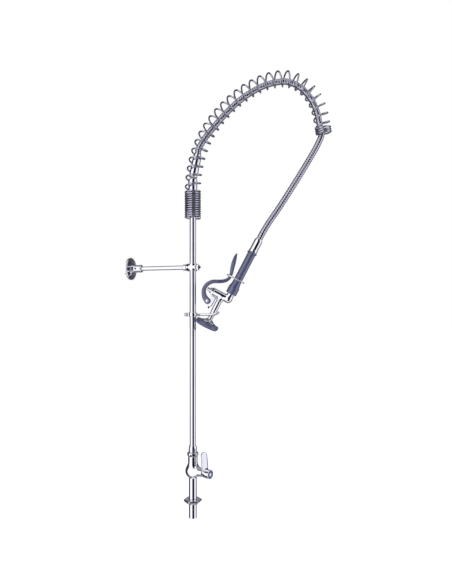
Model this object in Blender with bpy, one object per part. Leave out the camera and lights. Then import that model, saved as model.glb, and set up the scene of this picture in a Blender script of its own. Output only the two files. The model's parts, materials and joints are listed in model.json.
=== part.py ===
"""Deck-mounted pre-rinse faucet.

World frame: +Z up along the riser pipe's axis, origin where that axis meets the deck.
+X runs from the wall behind the faucet to the person using it. The overhead spring's
arch is swung about the riser from +X towards +Y, the hook and the spray valve a little
less, and the single-handle valve at the bottom is turned the other way.
"""

import math

import bmesh
import bpy
from mathutils import Matrix, Vector

MM = 0.001
GAP = 0.3                      # clearance kept between pieces that touch, in mm

# ---- base and riser, heights in mm above the deck --------------------------------------
SHANK_R = 10.65                # half-inch pipe
SHANK_DEPTH = 39.5
SEAT_TOP = 5.2
FLANGE_TOP = 11.4
FLANGE_CORNER_R = 25.2
NECK_R = 10.75
BALL_Z = 87.0
BALL_R = 20.4
BODY_R = 13.0
COLLAR_R = 15.3
COLLAR_Z = 129.4
BODY_TOP = 137.4
RISER_NUT_TOP = 156.5
RISER_R = 8.575                # three-eighths pipe
RISER_TOP = 838.0

# ---- single-handle valve ---------------------------------------------------------------
HANDLE_Z = 88.0
HANDLE_TURN = -20.0            # degrees about Z from +X
HUB_START = 38.0
HUB_END = 61.5
HUB_R = 12.1
STEM_R = 5.1
BLADE_TOP = 56.0

# ---- wall bracket and hook on the riser ------------------------------------------------
BRACKET_Z = 636.0
WALL_X = -187.0
WALL_FLANGE_R = 31.2
BRACKET_TUBE_R = 5.9
HOOK_Z = 508.6
VALVE_SWING = 11.0             # turn of the hook and the spray valve about the riser, degrees
ARCH_SWING = 20.0              # the same for the spring arch

# ---- overhead spring and hose ----------------------------------------------------------
WIRE_R = 2.1
COIL_R = 19.9
CLOSED_PITCH = 6.0
SPRING_BOTTOM = 769.0
CLOSED_TURNS = 12
OPEN_TURNS = 26
END_TURNS = 3
TURN_STEPS = 14
HOSE_R = 8.5
FERRULE_R = 11.6
FERRULE_TILT = 12.0            # lean of the lower ferrule, degrees
FERRULE_FOOT = 878.0
FERRULE_LENGTH = 66.0

# ---- spray valve, in a frame that leans with the grip -----------------------------------
ELBOW_X = 95.8
ELBOW_Z = 549.8
LEAN = 27.6                    # degrees from vertical
BARREL_R = 10.2
BARREL_LENGTH = 43.0
SPOUT_X = -19.3
SPOUT_R = 7.9
HEAD_R = 32.9
GRIP_R = 11.3
GRIP_TOP = 136.0
UPPER_FERRULE_TOP = 180.0
PIVOT_X = -47.0
PIVOT_Z = -29.5
RING_Z = 57.7


# =========================================================================================
# helpers
# =========================================================================================
def clear_scene():
    for ob in list(bpy.data.objects):
        bpy.data.objects.remove(ob, do_unlink=True)


def material(name, colour, roughness, metallic):
    mat = bpy.data.materials.new(name)
    mat.use_nodes = True
    bsdf = mat.node_tree.nodes["Principled BSDF"]
    bsdf.inputs["Base Color"].default_value = (*colour, 1.0)
    bsdf.inputs["Roughness"].default_value = roughness
    bsdf.inputs["Metallic"].default_value = metallic
    return mat


def mm(*values):
    return Vector([v * MM for v in values])


def add(name, data, mat, parent=None, location=(0, 0, 0), rotation=(0, 0, 0)):
    """Link one object; location in mm, rotation in degrees, both in the parent's frame."""
    ob = bpy.data.objects.new(name, data)
    bpy.context.scene.collection.objects.link(ob)
    ob.location = mm(*location)
    ob.rotation_euler = [math.radians(a) for a in rotation]
    if parent is not None:
        ob.parent = parent
    if mat is not None:
        data.materials.append(mat)
    return ob


def empty(name, location=(0, 0, 0), rotation=(0, 0, 0), parent=None):
    return add(name, None, None, parent, location, rotation)


def mesh_of(name, bm, smooth=True):
    bmesh.ops.recalc_face_normals(bm, faces=bm.faces[:])
    me = bpy.data.meshes.new(name)
    bm.to_mesh(me)
    bm.free()
    if smooth:
        me.shade_smooth()
        me.set_sharp_from_angle(angle=math.radians(35))
    return me


def turned_mesh(name, profile, steps=24):
    """Spin a profile of (radius, height) in mm round Z.

    A profile off the axis is closed on itself into a ring; one whose first and last
    radius are 0 closes on the axis.
    """
    bm = bmesh.new()
    verts = [bm.verts.new(mm(r, 0, h)) for r, h in profile]
    edges = [bm.edges.new(pair) for pair in zip(verts, verts[1:])]
    if profile[0][0] > 0:
        edges.append(bm.edges.new((verts[-1], verts[0])))
    bmesh.ops.spin(
        bm, geom=verts + edges, axis=(0, 0, 1), cent=(0, 0, 0),
        angle=2 * math.pi, steps=steps, use_merge=True,
    )
    bmesh.ops.remove_doubles(bm, verts=bm.verts[:], dist=1e-6)
    return mesh_of(name, bm)


def turned(name, profile, mat, parent=None, location=(0, 0, 0), rotation=(0, 0, 0), steps=24):
    return add(name, turned_mesh(name, profile, steps), mat, parent, location, rotation)


def loft_mesh(name, sections):
    """Join sections of equal point counts with quads and cap both ends."""
    bm = bmesh.new()
    rings = [[bm.verts.new(mm(*p)) for p in section] for section in sections]
    for low, high in zip(rings, rings[1:]):
        for k in range(len(low)):
            m = (k + 1) % len(low)
            bm.faces.new((low[k], low[m], high[m], high[k]))
    bm.faces.new(rings[0][::-1])
    bm.faces.new(rings[-1])
    return mesh_of(name, bm)


def slab_mesh(name, outline, y_low, y_high):
    """Extrude an outline of (x, z) in mm from y_low to y_high."""
    bm = bmesh.new()
    face = bm.faces.new([bm.verts.new(mm(x, y_low, z)) for x, z in outline])
    moved = bmesh.ops.extrude_face_region(bm, geom=[face])["geom"]
    bmesh.ops.translate(
        bm, vec=mm(0, y_high - y_low, 0),
        verts=[g for g in moved if isinstance(g, bmesh.types.BMVert)],
    )
    return mesh_of(name, bm)


def box_mesh(name, low, high):
    outline = [(low[0], low[2]), (high[0], low[2]), (high[0], high[2]), (low[0], high[2])]
    return slab_mesh(name, outline, low[1], high[1])


def polygon(radius, count, start=0.0):
    step = 2 * math.pi / count
    return [
        (radius * math.cos(start + k * step), radius * math.sin(start + k * step))
        for k in range(count)
    ]


def rod(name, points, radius, mat, sides=0, parent=None, cyclic=False):
    """A round bar along points in mm: a poly curve with a bevel and filled caps."""
    cu = bpy.data.curves.new(name, "CURVE")
    cu.dimensions = "3D"
    cu.bevel_depth = radius * MM
    cu.bevel_resolution = sides
    cu.use_fill_caps = True
    sp = cu.splines.new("POLY")
    sp.points.add(len(points) - 1)
    for slot, p in zip(sp.points, points):
        slot.co = (*mm(*p), 1.0)
    sp.use_cyclic_u = cyclic
    sp.use_smooth = True
    return add(name, cu, mat, parent)


def combine(target, operation, *others):
    """Boolean other objects into target; they stay behind as hidden wire guides."""
    for other in others:
        other.hide_render = True
        other.display_type = "WIRE"
        mod = target.modifiers.new(operation.title(), "BOOLEAN")
        mod.operation = operation
        mod.object = other


def cutter(name, data, parent=None, location=(0, 0, 0), rotation=(0, 0, 0)):
    return add(name, data, None, parent, location, rotation)


def rounded(ob, width, segments=2, angle=40.0):
    mod = ob.modifiers.new("Bevel", "BEVEL")
    mod.width = width * MM
    mod.segments = segments
    mod.limit_method = "ANGLE"
    mod.angle_limit = math.radians(angle)


def cylinder_profile(radius, low, high, chamfer=0.0):
    if chamfer <= 0:
        return [(0, low), (radius, low), (radius, high), (0, high)]
    return [
        (0, low), (radius - chamfer, low), (radius, low + chamfer),
        (radius, high - chamfer), (radius - chamfer, high), (0, high),
    ]


def sleeve_profile(bore, radius, low, high, chamfer=0.0):
    if chamfer <= 0:
        return [(bore, low), (radius, low), (radius, high), (bore, high)]
    return [
        (bore, low), (radius - chamfer, low), (radius, low + chamfer),
        (radius, high - chamfer), (radius - chamfer, high), (bore, high),
    ]


def smooth_curve(route, count):
    """Evenly spaced points on a Catmull-Rom curve through the route's points."""
    pts = [Vector(p) for p in route]
    pts = [2 * pts[0] - pts[1]] + pts + [2 * pts[-1] - pts[-2]]
    dense = []
    for a, b, c, d in zip(pts, pts[1:], pts[2:], pts[3:]):
        for k in range(24):
            t = k / 24
            dense.append(0.5 * (
                2 * b + (c - a) * t + (2 * a - 5 * b + 4 * c - d) * t * t
                + (3 * b - a - 3 * c + d) * t ** 3
            ))
    dense.append(pts[-2])
    run = [0.0]
    for p, q in zip(dense, dense[1:]):
        run.append(run[-1] + (q - p).length)
    out = []
    j = 0
    for k in range(count):
        target = run[-1] * k / (count - 1)
        while j < len(run) - 2 and run[j + 1] < target:
            j += 1
        f = (target - run[j]) / (run[j + 1] - run[j])
        out.append(dense[j].lerp(dense[j + 1], f))
    return out, run[-1]


# =========================================================================================
# materials
# =========================================================================================
def make_materials():
    return {
        "chrome": material("chrome", (0.86, 0.87, 0.90), 0.06, 1.0),
        "wire": material("spring_chrome", (0.80, 0.81, 0.84), 0.10, 1.0),
        "hose": material("hose_steel", (0.62, 0.63, 0.68), 0.25, 1.0),
        "brass": material("brass", (0.70, 0.55, 0.38), 0.32, 1.0),
        "steel": material("dark_steel", (0.10, 0.10, 0.11), 0.45, 0.9),
        "grip": material("grip_blue_grey", (0.150, 0.165, 0.255), 0.42, 0.0),
        "rubber": material("rubber_blue_grey", (0.120, 0.132, 0.205), 0.60, 0.0),
        "blue": material("index_blue", (0.02, 0.05, 0.42), 0.30, 0.0),
        "white": material("index_white", (0.85, 0.86, 0.90), 0.30, 0.0),
        "face": material("spray_plate", (0.70, 0.71, 0.74), 0.22, 1.0),
    }


# =========================================================================================
# base valve and riser
# =========================================================================================
def build_base(mats):
    corner = math.radians(-95.0)
    shank_hole = polygon(SHANK_R + GAP + 0.1, 24)

    def hex_ring(name, mat, sizes):
        """A six-sided ring: (corner radius, height) pairs outside, a round hole inside."""
        sections = [[(x, y, h) for x, y in polygon(r, 6, corner)] for r, h in sizes]
        ring = add(name, loft_mesh(name, sections), mat)
        low, high = sizes[0][1], sizes[-1][1]
        plug = [[(x, y, h) for x, y in shank_hole] for h in (low - 2, high + 2)]
        combine(ring, "DIFFERENCE", cutter(name + "_cut", loft_mesh(name + "_cut", plug)))
        return ring

    hex_ring("deck_seat_ring", mats["brass"], [(17.6, 0.0), (23.0, SEAT_TOP)])
    hex_ring(
        "deck_flange", mats["chrome"],
        [(24.2, SEAT_TOP + GAP), (FLANGE_CORNER_R, 6.6), (FLANGE_CORNER_R, 10.2),
         (FLANGE_CORNER_R - 2.2, FLANGE_TOP)],
    )
    turned(
        "inlet_shank",
        [(7.4, -SHANK_DEPTH), (9.9, -SHANK_DEPTH), (SHANK_R, -SHANK_DEPTH + 0.8),
         (SHANK_R, FLANGE_TOP), (7.4, FLANGE_TOP)],
        mats["chrome"],
    )

    profile = [(0, FLANGE_TOP + GAP), (NECK_R, FLANGE_TOP + GAP), (NECK_R, 62.0), (11.4, 67.0)]
    low = math.asin((69.0 - BALL_Z) / BALL_R)
    high = math.acos(BODY_R / BALL_R)
    for k in range(9):
        a = low + (high - low) * k / 8
        profile.append((BALL_R * math.cos(a), BALL_Z + BALL_R * math.sin(a)))
    profile += [
        (BODY_R, 107.0), (BODY_R, COLLAR_Z - 2.0), (COLLAR_R, COLLAR_Z),
        (COLLAR_R, BODY_TOP - 1.4), (COLLAR_R - 1.4, BODY_TOP), (0, BODY_TOP),
    ]
    body = turned("base_body", profile, mats["chrome"], steps=28)

    axis = empty("handle_axis", (0, 0, HANDLE_Z), (0, 90, HANDLE_TURN))
    barrel = [(0, 2), (13.9, 2), (13.4, 14), (11.3, HUB_START - 2.0), (10.6, HUB_START - 0.5),
              (0, HUB_START - 0.5)]
    combine(body, "UNION", cutter("barrel_part", turned_mesh("barrel_part", barrel), axis))
    bore = cylinder_profile(STEM_R + 0.5, 12.0, HUB_START + 4)
    combine(body, "DIFFERENCE", cutter("stem_bore", turned_mesh("stem_bore", bore, 20), axis))

    screw_z = COLLAR_Z + 1.2
    hole = cylinder_profile(2.9, 12.4, 20)
    combine(body, "DIFFERENCE", cutter(
        "body_screw_hole", turned_mesh("body_screw_hole", hole, 12), None, (0, 0, screw_z), (90, 0, 0)))
    turned("body_set_screw", cylinder_profile(2.5, 12.8, 14.9, 0.4), mats["steel"],
           None, (0, 0, screw_z), (90, 0, 0), 12)

    turned("base_stem", cylinder_profile(STEM_R, 12.6, 58.0, 0.5), mats["brass"], axis, steps=20)

    hub = [(0, HUB_START), (10.9, HUB_START), (11.3, HUB_START + 0.5), (HUB_R, 50), (HUB_R, 60),
           (HUB_R - 1.3, HUB_END), (10.1, HUB_END), (10.1, 58.6), (0, 58.6)]
    lever = turned("base_lever", hub, mats["chrome"], axis, steps=28)
    half = 13.4
    outline = [(-half * 0.86, 4.0), (half * 0.86, 4.0), (half, 20.0), (half * 0.96, 38.0)]
    for k in range(1, 8):
        a = math.pi * k / 8
        outline.append((half * 0.93 * math.cos(a), BLADE_TOP - 11.0 + 11.0 * math.sin(a)))
    outline.append((-half * 0.96, 38.0))
    outline.append((-half, 20.0))
    blade_mesh = slab_mesh("blade_part", outline, -2.2, 2.2)
    blade_mesh.transform(Matrix.Rotation(math.radians(90), 4, "Z"))
    # in the axis frame the blade rises along -X and its broad side faces along Z
    blade_mesh.transform(Matrix.Rotation(math.radians(-90), 4, "Y"))
    blade = cutter("blade_part", blade_mesh, axis, (0, 0, 43.5), (0, -6, 0))
    combine(lever, "UNION", blade)
    bore = cylinder_profile(STEM_R + 0.5, 20, 58.3)
    combine(lever, "DIFFERENCE", cutter("hub_bore", turned_mesh("hub_bore", bore, 20), axis))
    hole = cylinder_profile(2.9, 8.0, 20)
    turn = (0, 90, -80)
    combine(lever, "DIFFERENCE", cutter(
        "hub_screw_hole", turned_mesh("hub_screw_hole", hole, 12), axis, (0, 0, 45.5), turn))
    turned("lever_set_screw", cylinder_profile(2.4, 8.4, 11.2, 0.4), mats["steel"],
           axis, (0, 0, 45.5), turn, 12)
    turned("index_ring", sleeve_profile(5.0, 9.7, 58.9, 61.2, 0.5), mats["blue"], axis)
    turned("index_disc", cylinder_profile(4.6, 58.9, 61.3, 0.4), mats["white"], axis)

    turned(
        "riser_nut",
        [(RISER_R + 0.4, BODY_TOP + GAP), (11.2, BODY_TOP + GAP), (11.2, 149.5), (10.9, 151.5),
         (9.6, RISER_NUT_TOP - 1.0), (9.2, RISER_NUT_TOP), (RISER_R + 0.4, RISER_NUT_TOP)],
        mats["chrome"],
    )
    turned("riser_pipe", sleeve_profile(6.3, RISER_R, BODY_TOP + 2 * GAP, RISER_TOP), mats["chrome"])
    turned(
        "spring_seat",
        [(RISER_R + 0.4, 786.0), (15.0, 786.0), (16.3, 788.0), (16.3, 832.0), (12.4, RISER_TOP),
         (RISER_R + 0.4, RISER_TOP)],
        mats["steel"],
    )


# =========================================================================================
# wall bracket and finger hook
# =========================================================================================
def build_bracket(mats):
    wall = empty("wall_axis", (WALL_X, 0, BRACKET_Z), (0, 90, 0))
    dish = [(0, 0), (WALL_FLANGE_R - 0.6, 0), (WALL_FLANGE_R, 0.8), (WALL_FLANGE_R, 3.4),
            (WALL_FLANGE_R - 1.6, 4.9), (25.0, 5.4), (18.0, 6.2), (13.0, 6.8), (0, 7.0)]
    flange = turned("wall_flange", dish, mats["chrome"], wall, steps=36)
    # in the wall frame local X points down and local Y points along world Y
    places = {"wall_screw_lower": (13.5, -13.5), "wall_screw_upper": (-13.5, 13.5)}
    for name, (down, along) in places.items():
        hole = [(0, -2), (2.6, -2), (2.6, 1.0), (5.3, 4.0), (5.3, 12), (0, 12)]
        combine(flange, "DIFFERENCE", cutter(
            name + "_hole", turned_mesh(name + "_hole", hole, 16), wall, (down, along, 0)))
        screw = [(0, -10.5), (0.7, -10.0), (2.1, -6.0), (2.1, 1.0), (4.7, 4.2), (4.7, 5.0), (0, 5.9)]
        turned(name, screw, mats["steel"], wall, (down, along, 0), steps=16)

    turned(
        "wall_boss",
        [(0, 11.5), (BRACKET_TUBE_R + 0.4, 11.5), (BRACKET_TUBE_R + 0.4, 36.0), (9.4, 36.0),
         (10.9, 34.6), (10.9, 32.6), (10.5, 31.8), (10.5, 10.0), (11.6, 7.4), (0, 7.4)],
        mats["chrome"], wall,
    )
    boss = bpy.data.objects["wall_boss"]
    hole = cylinder_profile(2.4, 7.4, 16)
    combine(boss, "DIFFERENCE", cutter(
        "boss_screw_hole", turned_mesh("boss_screw_hole", hole, 12), None,
        (WALL_X + 20.5, 0, BRACKET_Z), (90, 0, 0)))
    turned("boss_set_screw", cylinder_profile(2.0, 7.7, 9.8, 0.3), mats["steel"],
           None, (WALL_X + 20.5, 0, BRACKET_Z), (90, 0, 0), 12)
    turned("bracket_tube", cylinder_profile(BRACKET_TUBE_R, 12.0, WALL_X * -1 - 19.0, 0.4),
           mats["chrome"], wall, steps=20)

    half = 10.2
    clamp = turned("riser_clamp", sleeve_profile(RISER_R + 0.4, 10.9, -half, half, 0.8),
                   mats["chrome"], None, (0, 0, BRACKET_Z), steps=28)
    tail = box_mesh("clamp_tail", (-17.5, -4.6, -8.6), (-9.6, 4.6, 8.6))
    barrel = turned_mesh("clamp_barrel", cylinder_profile(10.1, -11.0, 16.8, 1.0), 24)
    neck = turned_mesh("clamp_neck", cylinder_profile(8.4, 16.5, 27.0, 0.8), 24)
    combine(
        clamp, "UNION",
        cutter("clamp_tail", tail, None, (0, 0, BRACKET_Z)),
        cutter("clamp_barrel", barrel, None, (0, 0, BRACKET_Z), (0, -90, 0)),
        cutter("clamp_neck", neck, None, (0, 0, BRACKET_Z), (0, -90, 0)),
    )
    socket = turned_mesh("clamp_socket", cylinder_profile(BRACKET_TUBE_R + 0.4, 18.4, 34.0), 20)
    bore = turned_mesh("clamp_bore", cylinder_profile(RISER_R + 0.4, -14, 14), 28)
    slot = turned_mesh("clamp_slot", cylinder_profile(2.1, 1.5, 14.0), 12)
    combine(
        clamp, "DIFFERENCE",
        cutter("clamp_socket", socket, None, (0, 0, BRACKET_Z), (0, -90, 0)),
        cutter("clamp_bore", bore, None, (0, 0, BRACKET_Z)),
        cutter("clamp_slot_low", slot, None, (-12.0, 0, BRACKET_Z - 5.0), (90, 0, 0)),
        cutter("clamp_slot_high", slot, None, (-12.0, 0, BRACKET_Z + 5.0), (90, 0, 0)),
    )
    bolt = empty("clamp_bolt_axis", (0, 0, BRACKET_Z), (0, 90, 0))
    turned("clamp_stud", cylinder_profile(2.8, 11.3, 22.0, 0.6), mats["steel"], bolt, steps=12)
    sections = [[(x, y, h) for x, y in polygon(8.8, 6)] for h in (11.9, 17.6)]
    nut = add("clamp_nut", loft_mesh("clamp_nut", sections), mats["chrome"], bolt)
    hole = cylinder_profile(3.2, 8, 24)
    combine(nut, "DIFFERENCE", cutter("clamp_nut_hole", turned_mesh("clamp_nut_hole", hole, 12), bolt))


def build_hook(mats, swung):
    hook_clamp = turned("hook_clamp", sleeve_profile(RISER_R + 0.4, 10.6, -5.4, 5.4, 0.7),
                        mats["chrome"], swung, (0, 0, HOOK_Z), steps=28)
    ear = box_mesh("hook_ear", (-14.4, -3.6, -4.4), (-9.4, 3.6, 4.4))
    root = box_mesh("hook_root", (9.4, -3.4, -3.6), (13.4, 3.4, 3.6))
    combine(
        hook_clamp, "UNION",
        cutter("hook_ear", ear, swung, (0, 0, HOOK_Z)),
        cutter("hook_root", root, swung, (0, 0, HOOK_Z)),
    )
    bore = turned_mesh("hook_bore", cylinder_profile(RISER_R + 0.4, -9, 9), 28)
    combine(hook_clamp, "DIFFERENCE", cutter("hook_bore", bore, swung, (0, 0, HOOK_Z)))
    side = empty("hook_screw_axis", (0, 0, HOOK_Z), (0, -90, 0), swung)
    turned("hook_clamp_washer", sleeve_profile(2.2, 5.2, 14.8, 16.2, 0.3), mats["steel"], side, steps=20)
    head = [(0, 14.9), (1.9, 14.9), (1.9, 18.0), (4.6, 18.0), (4.9, 18.6), (4.9, 21.0),
            (3.6, 23.2), (0, 24.0)]
    turned("hook_clamp_screw", head, mats["chrome"], side, steps=20)

    wide = 11.9
    half_path = [(13.9 + 2.6 + 0.2, 0.0, -0.8)]
    for k in range(1, 6):
        a = math.pi / 2 * k / 5
        half_path.append((28.3 - wide * math.cos(a), -wide * math.sin(a), -0.8 + 0.3 * k / 5))
    half_path += [(42, -wide, 0.0), (56, -wide, 0.8), (62, -wide, 1.8), (66.5, -wide, 4.0),
                  (69.8, -wide, 8.2)]
    path = [(x, -y, z) for x, y, z in half_path[:0:-1]] + half_path
    rod("finger_hook", [(x, y, z + HOOK_Z) for x, y, z in path], 3.2, mats["chrome"], sides=2,
        parent=swung)


# =========================================================================================
# overhead spring and hose
# =========================================================================================
# in the arch's own frame, whose XZ plane holds it
SPRING_ROUTE = [
    (0, 0, SPRING_BOTTOM), (0, 0, 806), (0, 0, 844), (1.2, 0, 870), (5.4, 0, 901.5), (15.6, 0, 943.5),
    (33.5, 0, 988), (58.5, 0, 1028), (88.5, 0, 1064), (122, 0, 1095.5), (158, 0, 1121),
    (198.5, 0, 1141), (240.5, 0, 1150.5), (272.5, 0, 1147), (304, 0, 1129.5), (330, 0, 1099.5),
    (345, 0, 1066), (352.5, 0, 1032), (357.5, 0, 1003),
]


# how far the hose sits towards the arch's inner side, from the seventh route point on
HOSE_OFFSETS = (1.0, 6.5, 8.0, 8.0, 8.0, 8.0, 8.0, 8.0, 8.0, 8.0, 7.6, 6.8, 6.0)
# where the hose hangs free, from the spring's end down to the spray valve
HOSE_DROP = [
    (317, 113.5, 965.5), (296, 100, 924), (273.5, 85, 881), (249.5, 69.5, 837),
    (224, 55, 792.5), (199, 43.5, 752.5),
]


def frame_along(points):
    """Unit tangent and in-plane normal (towards the inner side of the arch) per point."""
    out = []
    for k, p in enumerate(points):
        before = points[max(k - 1, 0)]
        after = points[min(k + 1, len(points) - 1)]
        t = (after - before).normalized()
        out.append((p, t, Vector((t.z, 0, -t.x))))
    return out


def build_spring(mats, arch):
    """Closed coils on the seat, open coils over the arch, a few closed coils at the end."""
    centre, length = smooth_curve(SPRING_ROUTE, 400)
    frames = frame_along(centre)
    closed = CLOSED_TURNS * CLOSED_PITCH
    end = END_TURNS * CLOSED_PITCH
    open_pitch = (length - closed - end) / OPEN_TURNS
    turns = CLOSED_TURNS + OPEN_TURNS + END_TURNS

    def run_at(turn):
        if turn < CLOSED_TURNS:
            return turn * CLOSED_PITCH
        if turn < CLOSED_TURNS + OPEN_TURNS:
            return closed + (turn - CLOSED_TURNS) * open_pitch
        return length - (turns - turn) * CLOSED_PITCH

    points = []
    for k in range(turns * TURN_STEPS + 1):
        turn = k / TURN_STEPS
        place = run_at(turn) / length * (len(frames) - 1)
        j = min(int(place), len(frames) - 2)
        f = place - j
        p = frames[j][0].lerp(frames[j + 1][0], f)
        n = frames[j][2].lerp(frames[j + 1][2], f).normalized()
        a = 2 * math.pi * turn
        # right-handed: with the normal on the right, the coil climbs across the -Y side
        points.append(p + COIL_R * (n * math.cos(a) + Vector((0, 1, 0)) * math.sin(a)))
    rod("overhead_spring", points, WIRE_R, mats["wire"], sides=0, parent=arch)


def build_hose(mats, arch):
    tilt = math.radians(FERRULE_TILT)
    along = Vector((math.sin(tilt), 0, math.cos(tilt)))
    foot = Vector((0, 0, FERRULE_FOOT))
    top = foot + along * FERRULE_LENGTH
    turned(
        "hose_swivel_nut",
        [(0, RISER_TOP + GAP), (12.0, RISER_TOP + GAP), (12.0, 858.0), (12.4, 859.0), (12.4, 872.0),
         (11.0, 874.5), (0, 874.5)],
        mats["chrome"], steps=24,
    )
    turned(
        "hose_ferrule_lower",
        [(0, 0), (10.2, 0), (FERRULE_R, 1.6), (FERRULE_R, FERRULE_LENGTH - 9.0),
         (HOSE_R + 1.4, FERRULE_LENGTH), (0, FERRULE_LENGTH)],
        mats["chrome"], arch, foot, (0, FERRULE_TILT, 0), 24,
    )
    # the hose leaves the ferrule, crosses to the arch's inner side and follows it
    centre = frame_along([Vector(p) for p in SPRING_ROUTE])
    route = [top + along * 3.6 * GAP, top + along * 16.0]
    for (p, t, n), offset in zip(centre[6:], HOSE_OFFSETS):
        route.append(p + n * offset)
    swing = Matrix.Rotation(math.radians(ARCH_SWING), 3, "Z")
    route = [swing @ p for p in route] + [Vector(p) for p in HOSE_DROP]
    swing = Matrix.Rotation(math.radians(VALVE_SWING), 3, "Z")
    spray_up = Vector((math.sin(math.radians(LEAN)), 0, math.cos(math.radians(LEAN))))
    end = Vector((ELBOW_X, 0, ELBOW_Z)) + spray_up * (UPPER_FERRULE_TOP + GAP)
    route += [swing @ (end + spray_up * above) for above in (16.0, 8.0, 0.0)]
    points, length = smooth_curve(route, 34)
    # the last stretch is straight, so that the hose's end lies flat on the ferrule
    points[-1:] = [swing @ (end + spray_up * 12.0), swing @ end]
    rod("spray_hose", points, HOSE_R, mats["hose"], sides=2)
    print("hose length %.1f mm" % length)


# =========================================================================================
# spray valve
# =========================================================================================
def build_spray(mats, spray):
    body = turned("valve_body", cylinder_profile(BARREL_R, 0.6, BARREL_LENGTH, 0.6), mats["chrome"],
                  spray, (0, 0, 0), (0, -90, 0), 28)
    ball = bpy.data.meshes.new("elbow_ball")
    bm = bmesh.new()
    bmesh.ops.create_uvsphere(bm, u_segments=24, v_segments=12, radius=10.8 * MM)
    bm.to_mesh(ball)
    bm.free()
    ball.shade_smooth()
    combine(
        body, "UNION",
        cutter("elbow_ball", ball, spray, (0, 0, 0), (90, 0, 0)),
        cutter("elbow_neck", turned_mesh("elbow_neck", cylinder_profile(9.9, 1.0, 15.2), 24), spray),
        cutter("spout_boss", turned_mesh("spout_boss", cylinder_profile(9.0, -15.6, -2, 0.6), 24),
               spray, (SPOUT_X, 0, 0)),
    )
    bore = turned_mesh("plunger_bore", cylinder_profile(5.2, 32.5, 48.0), 20)
    combine(body, "DIFFERENCE", cutter("plunger_bore", bore, spray, (0, 0, 0), (0, -90, 0)))

    sections = [[(x, y, h) for x, y in polygon(r, 6)]
                for r, h in ((11.2, 43.3), (12.2, 44.2), (12.2, 49.2), (11.2, 50.0))]
    nut = add("bonnet_nut", loft_mesh("bonnet_nut", sections), mats["chrome"],
              spray, (0, 0, 0), (0, -90, 0))
    bore = turned_mesh("bonnet_bore", cylinder_profile(8.3, 40, 54), 20)
    combine(nut, "DIFFERENCE", cutter("bonnet_bore", bore, spray, (0, 0, 0), (0, -90, 0)))
    turned("bonnet_sleeve", sleeve_profile(5.2, 7.8, 43.5, 55.0, 0.6), mats["chrome"],
           spray, (0, 0, 0), (0, -90, 0), 24)
    plunger = [(0, 37.0), (4.6, 37.0), (4.6, 61.4), (3.8, 62.6), (0, 63.0)]
    turned("plunger", plunger, mats["chrome"], spray, (0, 0, 0), (0, -90, 0), 20)

    lug = [(-42.6, -10.9), (-44.5, -15.0), (-51.6, -26.0), (-51.6, -32.5), (-48.0, -36.0),
           (-40.5, -40.5), (-35.0, -41.0), (-31.0, -37.5), (-30.2, -28.0), (-30.2, -10.9)]
    pivot_lug = add("pivot_lug", slab_mesh("pivot_lug", lug, -3.9, 3.9), mats["chrome"], spray)
    pin_hole = turned_mesh("pin_hole", cylinder_profile(3.0, -16, 16), 16)
    stop_hole = turned_mesh("stop_hole", cylinder_profile(1.9, -8, 8), 10)
    stop_lean = (0, 190, 0)
    combine(
        pivot_lug, "DIFFERENCE",
        cutter("lug_pin_hole", pin_hole, spray, (PIVOT_X, 0, PIVOT_Z), (90, 0, 0)),
        cutter("lug_stop_hole", stop_hole, spray, (-36.4, 0, -41.5), stop_lean),
    )
    turned("stop_screw", [(0, -6.0), (1.5, -6.0), (1.5, 0.9), (2.7, 0.9), (2.7, 3.6), (2.0, 4.4), (0, 4.6)],
           mats["steel"], spray, (-36.4, 0, -41.5), stop_lean, 12)

    spout = [(0, -70.5), (6.9, -70.5), (7.1, -60.0), (SPOUT_R, -42.0), (SPOUT_R, -17.0),
             (SPOUT_R - 0.6, -15.9), (0, -15.9)]
    turned("spout", spout, mats["chrome"], spray, (SPOUT_X, 0, 0))
    turned(
        "head_plate",
        [(0, -79.4), (19.4, -79.4), (19.8, -78.8), (19.4, -77.4), (12.0, -74.0), (9.6, -71.2),
         (8.8, -70.8), (0, -70.8)],
        mats["face"], spray, (SPOUT_X, 0, 0), steps=28,
    )
    bumper = [(6.0, -79.7), (HEAD_R - 3.0, -79.7), (HEAD_R - 0.8, -80.6), (HEAD_R, -82.6),
              (HEAD_R, -86.2), (HEAD_R - 1.2, -89.4), (HEAD_R - 4.0, -93.2), (HEAD_R - 6.4, -94.0),
              (HEAD_R - 8.6, -93.0), (HEAD_R - 9.0, -84.4), (6.0, -84.4)]
    turned("bumper", bumper[::-1], mats["rubber"], spray, (SPOUT_X, 0, 0), steps=32)
    face = turned(
        "spray_face",
        [(0, -89.0), (HEAD_R - 10.2, -89.0), (HEAD_R - 9.5, -88.4), (HEAD_R - 9.5, -84.8), (0, -84.8)],
        mats["face"], spray, (SPOUT_X, 0, 0), steps=28,
    )
    jet = turned_mesh("jet_hole", cylinder_profile(1.3, -96, -86.0), 6)
    for k in range(10):
        a = 2 * math.pi * k / 10
        hole = cutter("jet_hole_%d" % k, jet, spray,
                      (SPOUT_X + 17.0 * math.cos(a), 17.0 * math.sin(a), 0))
        combine(face, "DIFFERENCE", hole)
    turned("face_screw", [(0, -92.4), (2.6, -92.2), (4.2, -91.0), (4.4, -89.3), (0, -89.3)],
           mats["steel"], spray, (SPOUT_X, 0, 0), steps=14)

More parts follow.
